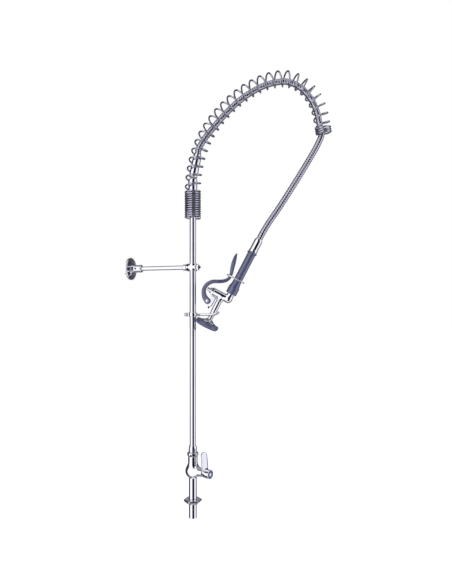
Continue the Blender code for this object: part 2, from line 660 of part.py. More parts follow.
    turned("grip_tube", sleeve_profile(5.6, 7.8, 15.5, GRIP_TOP + 4.6), mats["chrome"], spray, steps=20)
    turned(
        "grip",
        [(8.1, 15.8), (13.8, 15.8), (14.7, 17.0), (15.0, 33.5), (14.6, 35.5), (12.6, 41.5),
         (11.6, 49.0), (GRIP_R, 56.0), (GRIP_R - 0.2, 96.0), (GRIP_R, GRIP_TOP - GAP),
         (8.1, GRIP_TOP - GAP)],
        mats["grip"], spray, steps=28,
    )
    turned("grip_collar", sleeve_profile(8.1, 13.7, GRIP_TOP, GRIP_TOP + 4.8, 1.2), mats["grip"],
           spray, steps=28)
    foot = GRIP_TOP + 5.1
    top = UPPER_FERRULE_TOP
    turned(
        "hose_ferrule_upper",
        [(0, foot), (11.4, foot), (11.8, foot + 0.8), (11.8, foot + 5.9), (11.2, foot + 6.9), (11.2, top - 5.0),
         (9.6, top), (0, top)],
        mats["chrome"], spray,
    )

    lever_axis = empty("lever_axis", (PIVOT_X, 0, PIVOT_Z), (0, 0, 0), spray)
    # centre line from the pivot, round the plunger and up to the paddle: x, z, half
    # thickness in the plane and half width across it
    route = [
        (-47.0, -29.5, 8.0, 8.4), (-57.6, -24.6, 7.0, 8.4), (-66.0, -15.6, 5.4, 8.6),
        (-70.6, -3.8, 5.0, 8.6), (-68.4, 10.2, 4.9, 8.6), (-59.3, 22.6, 4.9, 8.4),
        (-45.4, 30.2, 4.8, 8.0), (-33.0, 37.8, 4.7, 7.0), (-25.6, 46.6, 4.3, 6.2),
        (-23.0, 56.0, 4.1, 6.0), (-24.4, 65.0, 4.4, 6.4), (-28.4, 79.0, 5.1, 8.4),
        (-31.8, 93.0, 5.2, 9.2), (-34.4, 106.5, 4.2, 8.4), (-35.8, 116.8, 2.4, 5.0),
    ]
    line, _ = smooth_curve([(x, z, 0) for x, z, _, _ in route], 31)
    sizes, _ = smooth_curve([(k * 12.0, t, w) for k, (_, _, t, w) in enumerate(route)], 31)
    sections = []
    for k, p in enumerate(line):
        before = line[max(k - 1, 0)]
        after = line[min(k + 1, len(line) - 1)]
        t = (after - before).normalized()
        side = Vector((t.y, -t.x, 0)) * sizes[k].y
        wide = sizes[k].z
        low, high = p - side, p + side
        sections.append([
            (low.x - PIVOT_X, -wide, low.y - PIVOT_Z), (high.x - PIVOT_X, -wide, high.y - PIVOT_Z),
            (high.x - PIVOT_X, wide, high.y - PIVOT_Z), (low.x - PIVOT_X, wide, low.y - PIVOT_Z),
        ])
    lever = add("squeeze_lever", loft_mesh("squeeze_lever", sections), mats["grip"], lever_axis)
    rounded(lever, 1.7, 1, 50)
    end_disc = turned_mesh("lever_end", cylinder_profile(8.4, -8.4, 8.4, 1.2), 24)
    combine(lever, "UNION", cutter("lever_end", end_disc, lever_axis, (0, 0, 0), (90, 0, 0)))
    slot = box_mesh("lever_slot", (-9.5, -4.4, -16.0), (19.0, 4.4, 21.0))
    combine(
        lever, "DIFFERENCE",
        cutter("lever_slot", slot, lever_axis, (0, 0, 0), (0, 4, 0)),
        cutter("lever_pin_hole", pin_hole, lever_axis, (0, 0, 0), (90, 0, 0)),
    )
    pin = [(0, -9.6), (2.6, -9.6), (2.6, 8.8), (4.6, 8.8), (4.6, 10.4), (3.6, 11.2), (0, 11.4)]
    turned("lever_pivot_pin", pin, mats["chrome"], spray, (PIVOT_X, 0, PIVOT_Z), (90, 0, 0), 16)

    ring_axis = empty("ring_axis", (-7.4, 0, RING_Z), (0, 0, 0), spray)
    loop = []
    for k in range(32):
        a = 2 * math.pi * k / 32
        c, s = math.cos(a), math.sin(a)
        loop.append((
            24.4 * math.copysign(abs(c) ** 0.72, c), 16.6 * math.copysign(abs(s) ** 0.72, s), 0.0))
    rod("hold_ring", loop, 2.0, mats["chrome"], 1, ring_axis, True)


def main():
    clear_scene()
    mats = make_materials()
    build_base(mats)
    build_bracket(mats)
    swung = empty("hook_axis", (0, 0, 0), (0, 0, VALVE_SWING))
    build_hook(mats, swung)
    build_spray(mats, empty("spray_frame", (ELBOW_X, 0, ELBOW_Z), (0, LEAN, 0), swung))
    arch = empty("arch_axis", (0, 0, 0), (0, 0, ARCH_SWING))
    build_spring(mats, arch)
    build_hose(mats, arch)


main()
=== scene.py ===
"""Looks of a deck-mounted pre-rinse faucet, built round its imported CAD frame.

Lengths are in millimetres until a mesh is made. World +Z runs up the riser, +X from the wall
towards the user. The hook and the spray valve lie in a plane swung round the riser from the
bracket's, and the spring arch in one swung a little further.
"""

import json
import math

import bpy
import numpy as np
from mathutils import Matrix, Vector


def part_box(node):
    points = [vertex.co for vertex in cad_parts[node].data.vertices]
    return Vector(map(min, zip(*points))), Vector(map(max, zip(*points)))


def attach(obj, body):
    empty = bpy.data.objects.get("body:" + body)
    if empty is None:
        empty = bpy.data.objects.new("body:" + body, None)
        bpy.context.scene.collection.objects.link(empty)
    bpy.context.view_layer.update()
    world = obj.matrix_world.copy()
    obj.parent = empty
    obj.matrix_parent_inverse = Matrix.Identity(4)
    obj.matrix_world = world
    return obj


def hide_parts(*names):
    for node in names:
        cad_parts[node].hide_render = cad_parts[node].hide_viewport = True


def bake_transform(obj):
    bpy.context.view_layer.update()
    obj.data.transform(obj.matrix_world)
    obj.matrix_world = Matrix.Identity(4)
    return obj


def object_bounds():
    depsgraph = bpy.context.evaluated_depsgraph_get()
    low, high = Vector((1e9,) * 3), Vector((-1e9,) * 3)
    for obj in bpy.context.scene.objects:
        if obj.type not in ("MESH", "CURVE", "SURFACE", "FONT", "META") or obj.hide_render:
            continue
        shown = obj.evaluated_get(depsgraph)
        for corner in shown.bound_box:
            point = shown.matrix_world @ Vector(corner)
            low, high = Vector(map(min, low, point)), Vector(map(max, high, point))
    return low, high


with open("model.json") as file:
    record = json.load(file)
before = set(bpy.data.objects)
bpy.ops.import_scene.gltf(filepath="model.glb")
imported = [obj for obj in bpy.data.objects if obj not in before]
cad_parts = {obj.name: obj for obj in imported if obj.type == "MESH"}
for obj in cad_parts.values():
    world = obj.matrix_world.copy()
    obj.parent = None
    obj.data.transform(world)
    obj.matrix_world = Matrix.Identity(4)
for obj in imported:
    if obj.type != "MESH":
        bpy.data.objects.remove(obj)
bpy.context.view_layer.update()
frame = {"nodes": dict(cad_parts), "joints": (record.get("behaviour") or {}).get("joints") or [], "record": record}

MM = 0.001
AROUND = 64                      # points round a turned piece

# ---- driving sizes ----
CAMERA_TURN = math.radians(17.0)
CAMERA_BACK = 1.404
CAMERA_SIDE = 0.0896
CAMERA_HEIGHT = 0.521
LENS = 32.05
GAP_TURN = 18.0                  # degrees right of the camera: the middle of the dark gap
CLOTH_TURN = -166.5              # the same for the middle of the grey cloth
FRAME_RISE = 0.0308              # how far the frame's centre sits above the optical axis

WIRE_R = 2.3                     # the overhead spring's wire
COIL_R = 19.9                    # from the spring's centre line to the middle of its wire
CLOSED_PITCH = 6.0               # height of one closed turn
CLOSED_TURNS = 12
OPEN_TURNS = 26
END_TURNS = 3
HOSE_R = 8.5
HOSE_PITCH = 6.3                 # one turn of the hose's wound steel strip

FERRULE_FOOT = 878.0             # height of the lower ferrule's foot
FERRULE_TILT = 12.0              # its lean towards the arch, degrees
FERRULE_LENGTH = 66.0
GAP = 0.3                        # between pieces that touch
LEAN = 27.6                      # the grip's lean from vertical, degrees
SPOUT_X = -19.3                  # the spout's axis in the spray valve's frame
HEAD_R = 32.9                    # the bumper's radius
PIVOT = (-47.0, -29.5)           # the lever's pin in the spray valve's frame
GRIP_TOP = 136.0                 # heights in the spray valve's frame
UPPER_FERRULE_TOP = 180.0
STEM_BORE = 5.6                  # for the base valve's stem, in its body and its handle
PIN_BORE = 3.0                   # for the squeeze lever's pin
SOCKET_R = 6.3                   # for the bracket tube, in its boss and its clamp
CLAMP_BORE = 8.975               # for the riser, in both clamps
FLAT = math.cos(math.pi / 6)     # a hexagon's apothem as a share of its corner radius


# ---- frames ----
def corner_low(node):
    return np.array(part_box(node)[0]) / MM


def corner_high(node):
    return np.array(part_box(node)[1]) / MM


def centre_of(node):
    return (corner_low(node) + corner_high(node)) / 2


def span(node):
    """The heights between which a node lies."""
    return corner_low(node)[2], corner_high(node)[2]


def axes_of(x_axis, z_axis):
    """A 3 by 3 array whose columns are the frame's own X, Y and Z."""
    x, z = (np.array(a, float) / np.linalg.norm(a) for a in (x_axis, z_axis))
    return np.stack((x, np.cross(z, x), z), axis=1)


def tipped(degrees):
    """X and Z axes after a turn about Y that tips Z towards X."""
    a = math.radians(degrees)
    return (math.cos(a), 0, -math.sin(a)), (math.sin(a), 0, math.cos(a))


def leaning(plane, origin, degrees):
    """A frame in a plane through the riser, its Z leaning away from the riser."""
    return np.array(origin, float), plane @ axes_of(*tipped(degrees))


def within(outer, origin, x_axis, z_axis):
    """A frame given by its origin and axes in an outer frame."""
    place, axes = outer
    return axes @ np.array(origin, float) + place, axes @ axes_of(x_axis, z_axis)


JOINTS = {joint["name"]: joint for joint in frame["joints"]}
UP = (0, 0, 1)
# in SWUNG, X and Z span the plane of the hook and the spray valve; in ARCH, the arch's plane
SWUNG = axes_of(JOINTS["spray_lift_off"]["axis"], UP)
ARCH = axes_of((*centre_of("hose_ferrule_lower")[:2], 0), UP)
ACROSS = tuple(ARCH[:, 1])
RISER = (np.zeros(3), np.eye(3))
pin = np.array(JOINTS["squeeze_lever_pivot"]["pos_m"]) / MM
lean = leaning(SWUNG, (0, 0, 0), LEAN)[1]
SPRAY = leaning(SWUNG, pin - lean @ np.array((PIVOT[0], 0, PIVOT[1])), LEAN)
ALONG_BARREL = ((0, 0, 1), (-1, 0, 0))            # X up, Z out along the valve's barrel
BARREL = within(SPRAY, (0, 0, 0), *ALONG_BARREL)
HEAD = within(SPRAY, (SPOUT_X, 0, 0), (1, 0, 0), UP)
LEVER = within(SPRAY, (PIVOT[0], 0, PIVOT[1]), (1, 0, 0), UP)
PIN = within(LEVER, (0, 0, 0), (1, 0, 0), (0, -1, 0))
STOP = within(SPRAY, (-36.4, 0, -41.5), *tipped(190.0))
HANDLE_Z = JOINTS["base_lever_turn"]["pos_m"][2] / MM
HANDLE = (np.array((0, 0, HANDLE_Z)), axes_of((0, 0, -1), JOINTS["base_lever_turn"]["axis"]))
WALL_X = corner_low("wall_flange")[0]
BRACKET_Z = centre_of("wall_flange")[2]
WALL = (np.array((WALL_X, 0, BRACKET_Z)), axes_of((0, 0, -1), (1, 0, 0)))
CLAMP = (np.array((0, 0, BRACKET_Z)), np.eye(3))
HOOK_Z = centre_of("hook_clamp_washer")[2]
HOOK = (np.array((0, 0, HOOK_Z)), SWUNG)
FERRULE = leaning(ARCH, (0, 0, FERRULE_FOOT), FERRULE_TILT)


# ---- camera, floor and light ----
def add(tree, kind, inputs=None, **settings):
    """A new shader node: its settings first, then each input, a value or a socket to link."""
    node = tree.nodes.new("ShaderNode" + kind)
    for key, value in settings.items():
        setattr(node, key, value)
    for key, value in (inputs or {}).items():
        if isinstance(value, bpy.types.NodeSocket):
            tree.links.new(value, node.inputs[key])
        else:
            node.inputs[key].default_value = value
    return node


def mixed(tree, factor, first, last):
    """A colour between two others."""
    inputs = {"Factor": factor, "A": first, "B": last}
    return add(tree, "Mix", inputs, data_type="RGBA").outputs["Result"]


def put(name, data):
    """A new object in the scene."""
    piece = bpy.data.objects.new(name, data)
    bpy.context.scene.collection.objects.link(piece)
    return piece


def set_camera():
    """A level camera in front, a little to the right of the bracket's square view."""
    data = bpy.data.cameras.new("camera")
    data.lens = LENS
    data.sensor_width = 36.0
    data.shift_y = FRAME_RISE
    camera = put("camera", data)
    back = Vector((math.sin(CAMERA_TURN), -math.cos(CAMERA_TURN), 0))
    side = Vector((math.cos(CAMERA_TURN), math.sin(CAMERA_TURN), 0))
    camera.location = back * CAMERA_BACK + side * CAMERA_SIDE + Vector((0, 0, CAMERA_HEIGHT))
    camera.rotation_mode = "QUATERNION"
    camera.rotation_quaternion = (-back).to_track_quat("-Z", "Y")
    bpy.context.scene.camera = camera


def aside(degrees):
    """The level direction so many degrees to the right of the way back to the camera."""
    a = CAMERA_TURN + math.radians(degrees)
    return math.sin(a), -math.cos(a), 0


def set_studio():
    """A tent of white panels: a dark gap in front, grey cloth behind, white elsewhere.

    The gap is where the tangent of the angle from its middle is small, except high and low;
    the cloth is where the direction's share along the cloth's middle is large.
    """
    world = bpy.data.worlds.new("studio")
    bpy.context.scene.world = world
    world.use_nodes = True
    tree = world.node_tree
    tree.nodes.clear()

    def calculate(operation, *inputs):
        return add(tree, "Math", dict(enumerate(inputs)), operation=operation).outputs[0]

    def along(way):
        node = add(tree, "VectorMath", {0: direction, 1: way}, operation="DOT_PRODUCT")
        return node.outputs["Value"]

    def ramp(value, low, high, first, last):
        inputs = dict(zip(("Value", "From Min", "From Max", "To Min", "To Max"),
                          (value, low, high, first, last)))
        return add(tree, "MapRange", inputs, interpolation_type="SMOOTHSTEP").outputs["Result"]

    direction = add(tree, "TexCoord").outputs["Generated"]
    side = along(aside(90.0))
    aslant = calculate("ABSOLUTE", along(UP))
    gap_front = calculate("MAXIMUM", along(aside(GAP_TURN)), 0.001)
    gap_side = calculate("ABSOLUTE", along(aside(GAP_TURN + 90.0)))
    tangent = calculate("DIVIDE", gap_side, gap_front)
    behind = calculate("ADD", along(aside(CLOTH_TURN)), calculate("MULTIPLY", aslant, 0.3))
    # gap and cloth are 0 inside their patch and 1 outside it
    gap = calculate("MAXIMUM", ramp(tangent, 0.50, 0.64, 0.0, 1.0),
                    ramp(aslant, 0.80, 0.92, 0.0, 1.0))
    cloth = ramp(behind, 0.07, 0.23, 1.0, 0.0)

    grey = mixed(tree, ramp(calculate("ABSOLUTE", side), 0.25, 0.85, 0.0, 1.0),
                 (0.25, 0.25, 0.28, 1), (0.045, 0.045, 0.065, 1))
    white = mixed(tree, ramp(side, 0.2, 1.0, 0.0, 1.0),
                  (1.12, 1.12, 1.17, 1), (0.92, 0.92, 1.02, 1))
    light = mixed(tree, gap, (0.010, 0.011, 0.020, 1), mixed(tree, cloth, grey, white))

    lit = add(tree, "Background", {"Color": light})
    seen = add(tree, "Background", {"Color": (1, 1, 1, 1)})
    by_camera = add(tree, "LightPath").outputs["Is Camera Ray"]
    choose = add(tree, "MixShader", {0: by_camera, 1: lit.outputs[0], 2: seen.outputs[0]})
    add(tree, "OutputWorld", {"Surface": choose.outputs[0]})
    bpy.context.scene.view_settings.view_transform = "Standard"


def set_floor():
    """A wide pale sheet under the shank; its own glow keeps it as pale as the backdrop."""
    data = bpy.data.meshes.new("floor")
    half = 14.0
    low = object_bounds()[0][2] - 0.0005
    corners = ((-half, -half), (half, -half), (half, half), (-half, half))
    data.from_pydata([(x, y, low) for x, y in corners], [], [(0, 1, 2, 3)])
    floor = put("floor", data)
    mat = bpy.data.materials.new("floor_paper")
    mat.use_nodes = True
    shader = mat.node_tree.nodes["Principled BSDF"]
    shader.inputs["Base Color"].default_value = (0.55, 0.55, 0.56, 1)
    shader.inputs["Roughness"].default_value = 0.9
    shader.inputs["Specular IOR Level"].default_value = 0.1
    shader.inputs["Emission Color"].default_value = (1, 1, 1, 1)
    shader.inputs["Emission Strength"].default_value = 0.92
    data.materials.append(mat)
    floor.visible_glossy = False


# ---- materials ----
def node_group(name, numbers, outputs):
    """An empty shader group with number inputs (name: default) and named outputs."""
    tree = bpy.data.node_groups.new(name, "ShaderNodeTree")
    for key, value in numbers.items():
        socket = tree.interface.new_socket(name=key, in_out="INPUT", socket_type="NodeSocketFloat")
        socket.default_value = value
    for key, kind in outputs.items():
        tree.interface.new_socket(name=key, in_out="OUTPUT", socket_type=kind)
    return tree, tree.nodes.new("NodeGroupInput"), tree.nodes.new("NodeGroupOutput")


def polish_group():
    """Handling marks on polished metal: soft smears that dull the polish, and a faint waviness."""
    tree, given, out = node_group(
        "polish", {"Roughness": 0.05, "Smear": 0.05, "Scale": 30.0},
        {"Roughness": "NodeSocketFloat", "Height": "NodeSocketFloat", "Smears": "NodeSocketFloat"},
    )
    place = add(tree, "TexCoord").outputs["Object"]
    smear = add(tree, "TexNoise", {"Vector": place, "Scale": given.outputs["Scale"],
                                   "Detail": 6.0, "Roughness": 0.62})
    mask = add(tree, "MapRange",
               {"Value": smear.outputs["Fac"], "From Min": 0.48, "From Max": 0.74})
    dull = add(tree, "Math", {0: mask.outputs["Result"], 1: given.outputs["Smear"],
                              2: given.outputs["Roughness"]}, operation="MULTIPLY_ADD")
    wave = add(tree, "TexNoise", {"Vector": place, "Scale": 70.0, "Detail": 1.0})
    tree.links.new(dull.outputs[0], out.inputs["Roughness"])
    tree.links.new(wave.outputs["Fac"], out.inputs["Height"])
    tree.links.new(mask.outputs["Result"], out.inputs["Smears"])
    return tree


def grain_group():
    """Moulded grain: fine pits as a height, with a broad mottle that shifts colour and gloss."""
    tree, given, out = node_group(
        "grain", {"Scale": 900.0, "Mottle": 40.0},
        {"Height": "NodeSocketFloat", "Mottle": "NodeSocketFloat"},
    )
    place = add(tree, "TexCoord").outputs["Object"]
    for scale, result, detail in (("Scale", "Height", 2.0), ("Mottle", "Mottle", 4.0)):
        noise = add(tree, "TexNoise",
                    {"Vector": place, "Scale": given.outputs[scale], "Detail": detail})
        tree.links.new(noise.outputs["Fac"], out.inputs[result])
    return tree


POLISH = polish_group()
GRAIN = grain_group()


def start_material(name, group, values):
    """A new material with a group in it: its tree, the group's node and the shader."""
    mat = bpy.data.materials.new(name)
    mat.use_nodes = True
    tree = mat.node_tree
    node = add(tree, "Group", values, node_tree=group)
    return tree, node, tree.nodes["Principled BSDF"], mat


def tint(tree, shader, factor, first, second):
    """Base colour that shifts from first to second with a mask."""
    colour = mixed(tree, factor, (*first, 1), (*second, 1))
    tree.links.new(colour, shader.inputs["Base Color"])


def relief(tree, shader, height, strength, distance):
    """Bends the shader's normal by a height."""
    bump = add(tree, "Bump", {"Strength": strength, "Distance": distance, "Height": height})
    tree.links.new(bump.outputs["Normal"], shader.inputs["Normal"])


def metal(name, clean, worn, roughness, smear, scale, wave):
    """Polished metal: smears of a scale dull it by `smear`, and waves bend its reflections."""
    tree, marks, shader, mat = start_material(
        name, POLISH, {"Roughness": roughness, "Smear": smear, "Scale": scale})
    shader.inputs["Metallic"].default_value = 1.0
    tint(tree, shader, marks.outputs["Smears"], clean, worn)
    tree.links.new(marks.outputs["Roughness"], shader.inputs["Roughness"])
    relief(tree, shader, marks.outputs["Height"], wave, 0.0004)
    return mat


def plastic(name, base, pale, roughness, grain, scale, coat):
    """Moulded plastic: grain of a scale under a clear coat, its gloss and colour mottled."""
    tree, marks, shader, mat = start_material(name, GRAIN, {"Scale": scale})
    tint(tree, shader, marks.outputs["Mottle"], base, pale)
    gloss = add(tree, "MapRange", {"Value": marks.outputs["Mottle"],
                                   "To Min": roughness - 0.06, "To Max": roughness + 0.08})
    tree.links.new(gloss.outputs["Result"], shader.inputs["Roughness"])
    shader.inputs["Coat Weight"].default_value = coat
    shader.inputs["Coat Roughness"].default_value = 0.16
    shader.inputs["Coat IOR"].default_value = 1.8
    relief(tree, shader, marks.outputs["Height"], grain, 0.0002)
    return mat


# name in the record: (material, base or clean colour, pale or worn colour, further numbers)
METALS = {
    "chrome": ("chrome_plate", (0.90, 0.90, 0.935), (0.80, 0.80, 0.85), 0.035, 0.07, 26.0, 0.02),
    "spring_chrome": ("spring_wire", (0.52, 0.52, 0.60), (0.36, 0.36, 0.43),
                      0.08, 0.12, 60.0, 0.05),
    "hose_steel": ("hose_strip", (0.56, 0.56, 0.63), (0.42, 0.42, 0.49), 0.14, 0.12, 90.0, 0.08),
    "brass": ("dulled_brass", (0.74, 0.62, 0.52), (0.55, 0.44, 0.36), 0.22, 0.20, 80.0, 0.10),
    # black_oxide_and_hole_shade also serves as the painted shade on the riser clamp's hole walls
    "dark_steel": ("black_oxide_and_hole_shade", (0.055, 0.055, 0.065), (0.11, 0.11, 0.12),
                   0.34, 0.18, 120.0, 0.2),
    "spray_plate": ("satin_plate", (0.72, 0.72, 0.76), (0.58, 0.58, 0.63), 0.14, 0.14, 60.0, 0.05),
}
PLASTICS = {
    "grip_blue_grey": ("grip_coating", (0.064, 0.073, 0.160), (0.082, 0.092, 0.190),
                       0.34, 0.16, 900.0, 1.0),
    "rubber_blue_grey": ("bumper_rubber", (0.080, 0.090, 0.160), (0.104, 0.116, 0.196),
                         0.46, 0.24, 700.0, 0.5),
    "index_blue": ("index_blue", (0.006, 0.018, 0.15), (0.010, 0.030, 0.20),
                   0.20, 0.04, 600.0, 0.6),
    "index_white": ("index_white", (0.80, 0.81, 0.86), (0.88, 0.89, 0.93), 0.22, 0.04, 600.0, 0.6),
}
MATERIALS = {slot: metal(*values) for slot, values in METALS.items()}
MATERIALS.update((slot, plastic(*values)) for slot, values in PLASTICS.items())


# ---- surfaces ----
def skin(name, points, faces, normals, at=RISER):
    """One smooth mesh: points and their true normals in mm, carried into a frame."""
    origin, axes = at
    data = bpy.data.meshes.new(name)
    data.from_pydata(((points @ axes.T + origin) * MM).tolist(), [], faces)
    data.shade_smooth()
    data.normals_split_custom_set_from_vertices((normals @ axes.T).tolist())
    return put(name, data)


def wear(piece, node, rides=True):
    """The piece stands for a node: it takes over its slot, its material and its body."""
    slot = SLOTS[node]
    piece.data.materials.append(MATERIALS[slot])
    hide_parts(node)
    if rides:
        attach(piece, BODIES[node])
    return piece


SLOTS = {part["node"]: part["material_slot"] for part in frame["record"]["subparts"]}
BODIES = {node: body for body, nodes in frame["record"]["behaviour"]["bodies"].items()
          for node in nodes}


def angles(count):
    """Even angles once round."""
    return np.linspace(0, 2 * math.pi, count, endpoint=False)


def run_along(points):
    """The distance along a path to each of its points."""
    return np.concatenate(((0,), np.cumsum(np.linalg.norm(np.diff(points, axis=0), axis=1))))


def unit(vectors):
    return vectors / np.maximum(np.linalg.norm(vectors, axis=-1, keepdims=True), 1e-12)


def grid_faces(rows, around, ends):
    """Quads between rows of a grid that closes round each row.

    ends is "ring" to join the last row to the first, or "pole" for a fan to one more point
    before the first row and one after the last, stored after the grid's own points.
    """
    bands = rows if ends == "ring" else rows - 1
    i, j = np.meshgrid(np.arange(bands), np.arange(around), indexing="ij")
    k, m = (i + 1) % rows, (j + 1) % around
    quads = np.stack((i * around + j, i * around + m, k * around + m, k * around + j), -1)
    faces = quads.reshape(-1, 4).tolist()
    if ends == "pole":
        j = np.arange(around)
        m = (j + 1) % around
        low, high = rows * around, rows * around + 1
        last = (rows - 1) * around
        faces += np.stack((np.full(around, low), m, j), -1).tolist()
        faces += np.stack((np.full(around, high), last + j, last + m), -1).tolist()
    return faces


def filleted(outline, radius, closed, steps=5):
    """Round each corner with a quadratic curve that begins and ends `radius` away from it.

    On a short side the curve begins at 45 % of the side. Returns points and tangents.
    """
    p = np.array(outline, float)
    radius = np.broadcast_to(np.array(radius, float), len(p))[:, None]
    back, ahead = np.roll(p, 1, 0) - p, np.roll(p, -1, 0) - p
    back_run = np.linalg.norm(back[:, :2], axis=1, keepdims=True)
    ahead_run = np.linalg.norm(ahead[:, :2], axis=1, keepdims=True)
    a = p + back * np.minimum(radius / np.maximum(back_run, 1e-9), 0.45)
    c = p + ahead * np.minimum(radius / np.maximum(ahead_run, 1e-9), 0.45)
    t = np.linspace(0, 1, steps)[None, :, None]
    a, b, c = a[:, None], p[:, None], c[:, None]
    curve = (1 - t) ** 2 * a + 2 * t * (1 - t) * b + t ** 2 * c
    slope = (1 - t) * (b - a) + t * (c - b)
    if closed:
        return curve.reshape(-1, p.shape[1]), slope.reshape(-1, p.shape[1])
    curve, slope = (array[1:-1].reshape(-1, p.shape[1]) for array in (curve, slope))
    return (np.vstack((p[:1], curve, p[-1:])),
            np.vstack((ahead[:1], slope, -back[-1:])))


def six_sided(angle, sharpness=26.0):
    """Distance to a hexagon of unit apothem with eased corners: a p-norm of three directions."""
    turns = np.arange(3) * math.pi / 3
    powers = np.abs(np.cos(angle[:, None] - turns)) ** sharpness
    return powers.sum(1) ** (-1 / sharpness)


def turned(node, outline, at=RISER, fillet=0.5, around=AROUND, start=0.0):
    """An outline of (radius, height, six-sided share) spun round the frame's Z axis.

    The radius at an angle is the outline's radius times the hexagon's to the power of the
    share: 0 is round and 1 is six-sided. The outline runs up the outside. It is solid if
    it starts on the axis, and otherwise a ring.
    """
    outline = [(*point, 0.0)[:3] for point in outline]
    ring = outline[0][0] > 0
    p, slope = filleted(outline, fillet, ring)
    angle = angles(2 * around if any(point[2] > 0 for point in outline) else around)
    side = six_sided(angle - start)[None]
    wrapped = np.concatenate((side[0, -2:], side[0], side[0, :2]))
    side_slope = np.gradient(wrapped, angle[1])[2:-2][None]
    share = p[:, 2:3]
    radius = p[:, :1] * side ** share
    by_angle = p[:, :1] * share * side ** (share - 1) * side_slope
    by_run = side ** share * (slope[:, :1] + p[:, :1] * np.log(side) * slope[:, 2:3])
    out = np.stack((np.cos(angle), np.sin(angle), 0 * angle), -1)[None]
    on = np.stack((-np.sin(angle), np.cos(angle), 0 * angle), -1)[None]
    height = np.broadcast_to(p[:, 1:2], radius.shape)
    rise = slope[:, 1:2]
    grid = radius[..., None] * out + height[..., None] * np.array(UP)
    normal = unit(
        (radius * rise)[..., None] * out - (by_angle * rise)[..., None] * on
        - (radius * by_run)[..., None] * np.array(UP))
    if ring:
        points, normals = grid.reshape(-1, 3), normal.reshape(-1, 3)
        faces = grid_faces(len(p), len(angle), "ring")
    else:
        points = np.vstack((grid[1:-1].reshape(-1, 3), grid[0, 0], grid[-1, 0]))
        poles = np.array(((0, 0, -np.sign(slope[0, 0])), (0, 0, -np.sign(slope[-1, 0]))))
        normals = np.vstack((normal[1:-1].reshape(-1, 3), poles))
        faces = grid_faces(len(p) - 2, len(angle), "pole")
    return wear(skin(node, points, faces, normals, at), node)


def swept(name, path, radius, across, around=16, closed=False, at=RISER):
    """Circles round a path, each square to it: path + radius (cos t e1 + sin t e2).

    e1 is `across` made square to the path. radius is one number, or one for each grid point.
    A path that isn't closed ends in a point at each end, so its radius there is the cap's.
    """
    step = np.roll(path, -1, 0) - np.roll(path, 1, 0) if closed else np.gradient(path, axis=0)
    ahead = unit(step)
    across = np.broadcast_to(np.array(across, float), path.shape)
    e1 = unit(across - (across * ahead).sum(1, keepdims=True) * ahead)
    e2 = np.cross(ahead, e1)
    t = angles(around)
    out = np.cos(t)[None, :, None] * e1[:, None] + np.sin(t)[None, :, None] * e2[:, None]
    radius = np.broadcast_to(np.array(radius, float), (len(path), around))
    grid = path[:, None] + radius[..., None] * out
    round_step = np.roll(grid, -1, 1) - np.roll(grid, 1, 1)
    along = np.roll(grid, -1, 0) - np.roll(grid, 1, 0) if closed else np.gradient(grid, axis=0)
    normal = unit(np.cross(round_step, along))
    points, normals = grid.reshape(-1, 3), normal.reshape(-1, 3)
    if closed:
        return skin(name, points, grid_faces(len(path), around, "ring"), normals, at)
    points = np.vstack((points, path[:1] - ahead[:1] * 1e-3, path[-1:] + ahead[-1:] * 1e-3))
    normals = np.vstack((normals, -ahead[:1], ahead[-1:]))
    return skin(name, points, grid_faces(len(path), around, "pole"), normals, at)


# ---- solids given by a distance, for castings with blended joins ----
def blended(a, b, blend):
    """Union of two distances with a fillet: the lower, less a parabola where they are close."""
    near = np.maximum(blend - np.abs(a - b), 0) / blend
    return np.minimum(a, b) - near * near * blend / 4


def common(a, b, blend=0.6):
    """What two distances have in common, its edge eased."""
    return -blended(-a, -b, blend)


def cut(a, b, blend=0.5):
    """The first less the second, its edge eased."""
    return common(a, -b, blend)


def local(p, origin, x_axis, z_axis):
    """Points in the frame with that origin and those axes."""
    return (p - np.array(origin, float)) @ axes_of(x_axis, z_axis)


def off_axis(p):
    """Distance from the frame's Z axis."""
    return np.hypot(p[..., 0], p[..., 1])


def between(z, low, high):
    """Distance to a slab, below 0 from low to high."""
    return np.maximum(low - z, z - high)


def bar(p, radius, low, high, edge=0.6):
    """Distance to a cylinder on Z from low to high."""
    return common(off_axis(p) - radius, between(p[..., 2], low, high), edge)


def block(p, low, high, edge=0.8):
    """Distance to a box between two corners, its edges eased."""
    middle, half = (np.array(low) + high) / 2, (np.array(high) - low) / 2
    d = np.abs(p - middle) - half
    return common(common(d[..., 0], d[..., 1], edge), d[..., 2], edge)


def outline_distance(x, z, corners):
    """Distance in a plane to a closed polygon, below 0 inside it."""
    a = np.array(corners, float)
    b = np.roll(a, -1, 0)
    q = np.stack((x, z), -1)[..., None, :]
    run = b - a
    t = np.clip(((q - a) * run).sum(-1) / (run * run).sum(-1), 0, 1)
    nearest = np.linalg.norm(q - a - t[..., None] * run, axis=-1).min(-1)
    above = (a[:, 1] > q[..., 1]) != (b[:, 1] > q[..., 1])
    with np.errstate(divide="ignore", invalid="ignore"):
        crossing = a[:, 0] + (q[..., 1] - a[:, 1]) * run[:, 0] / run[:, 1]
    inside = (above & (q[..., 0] < crossing)).sum(-1) % 2 == 1
    return np.where(inside, -nearest, nearest)


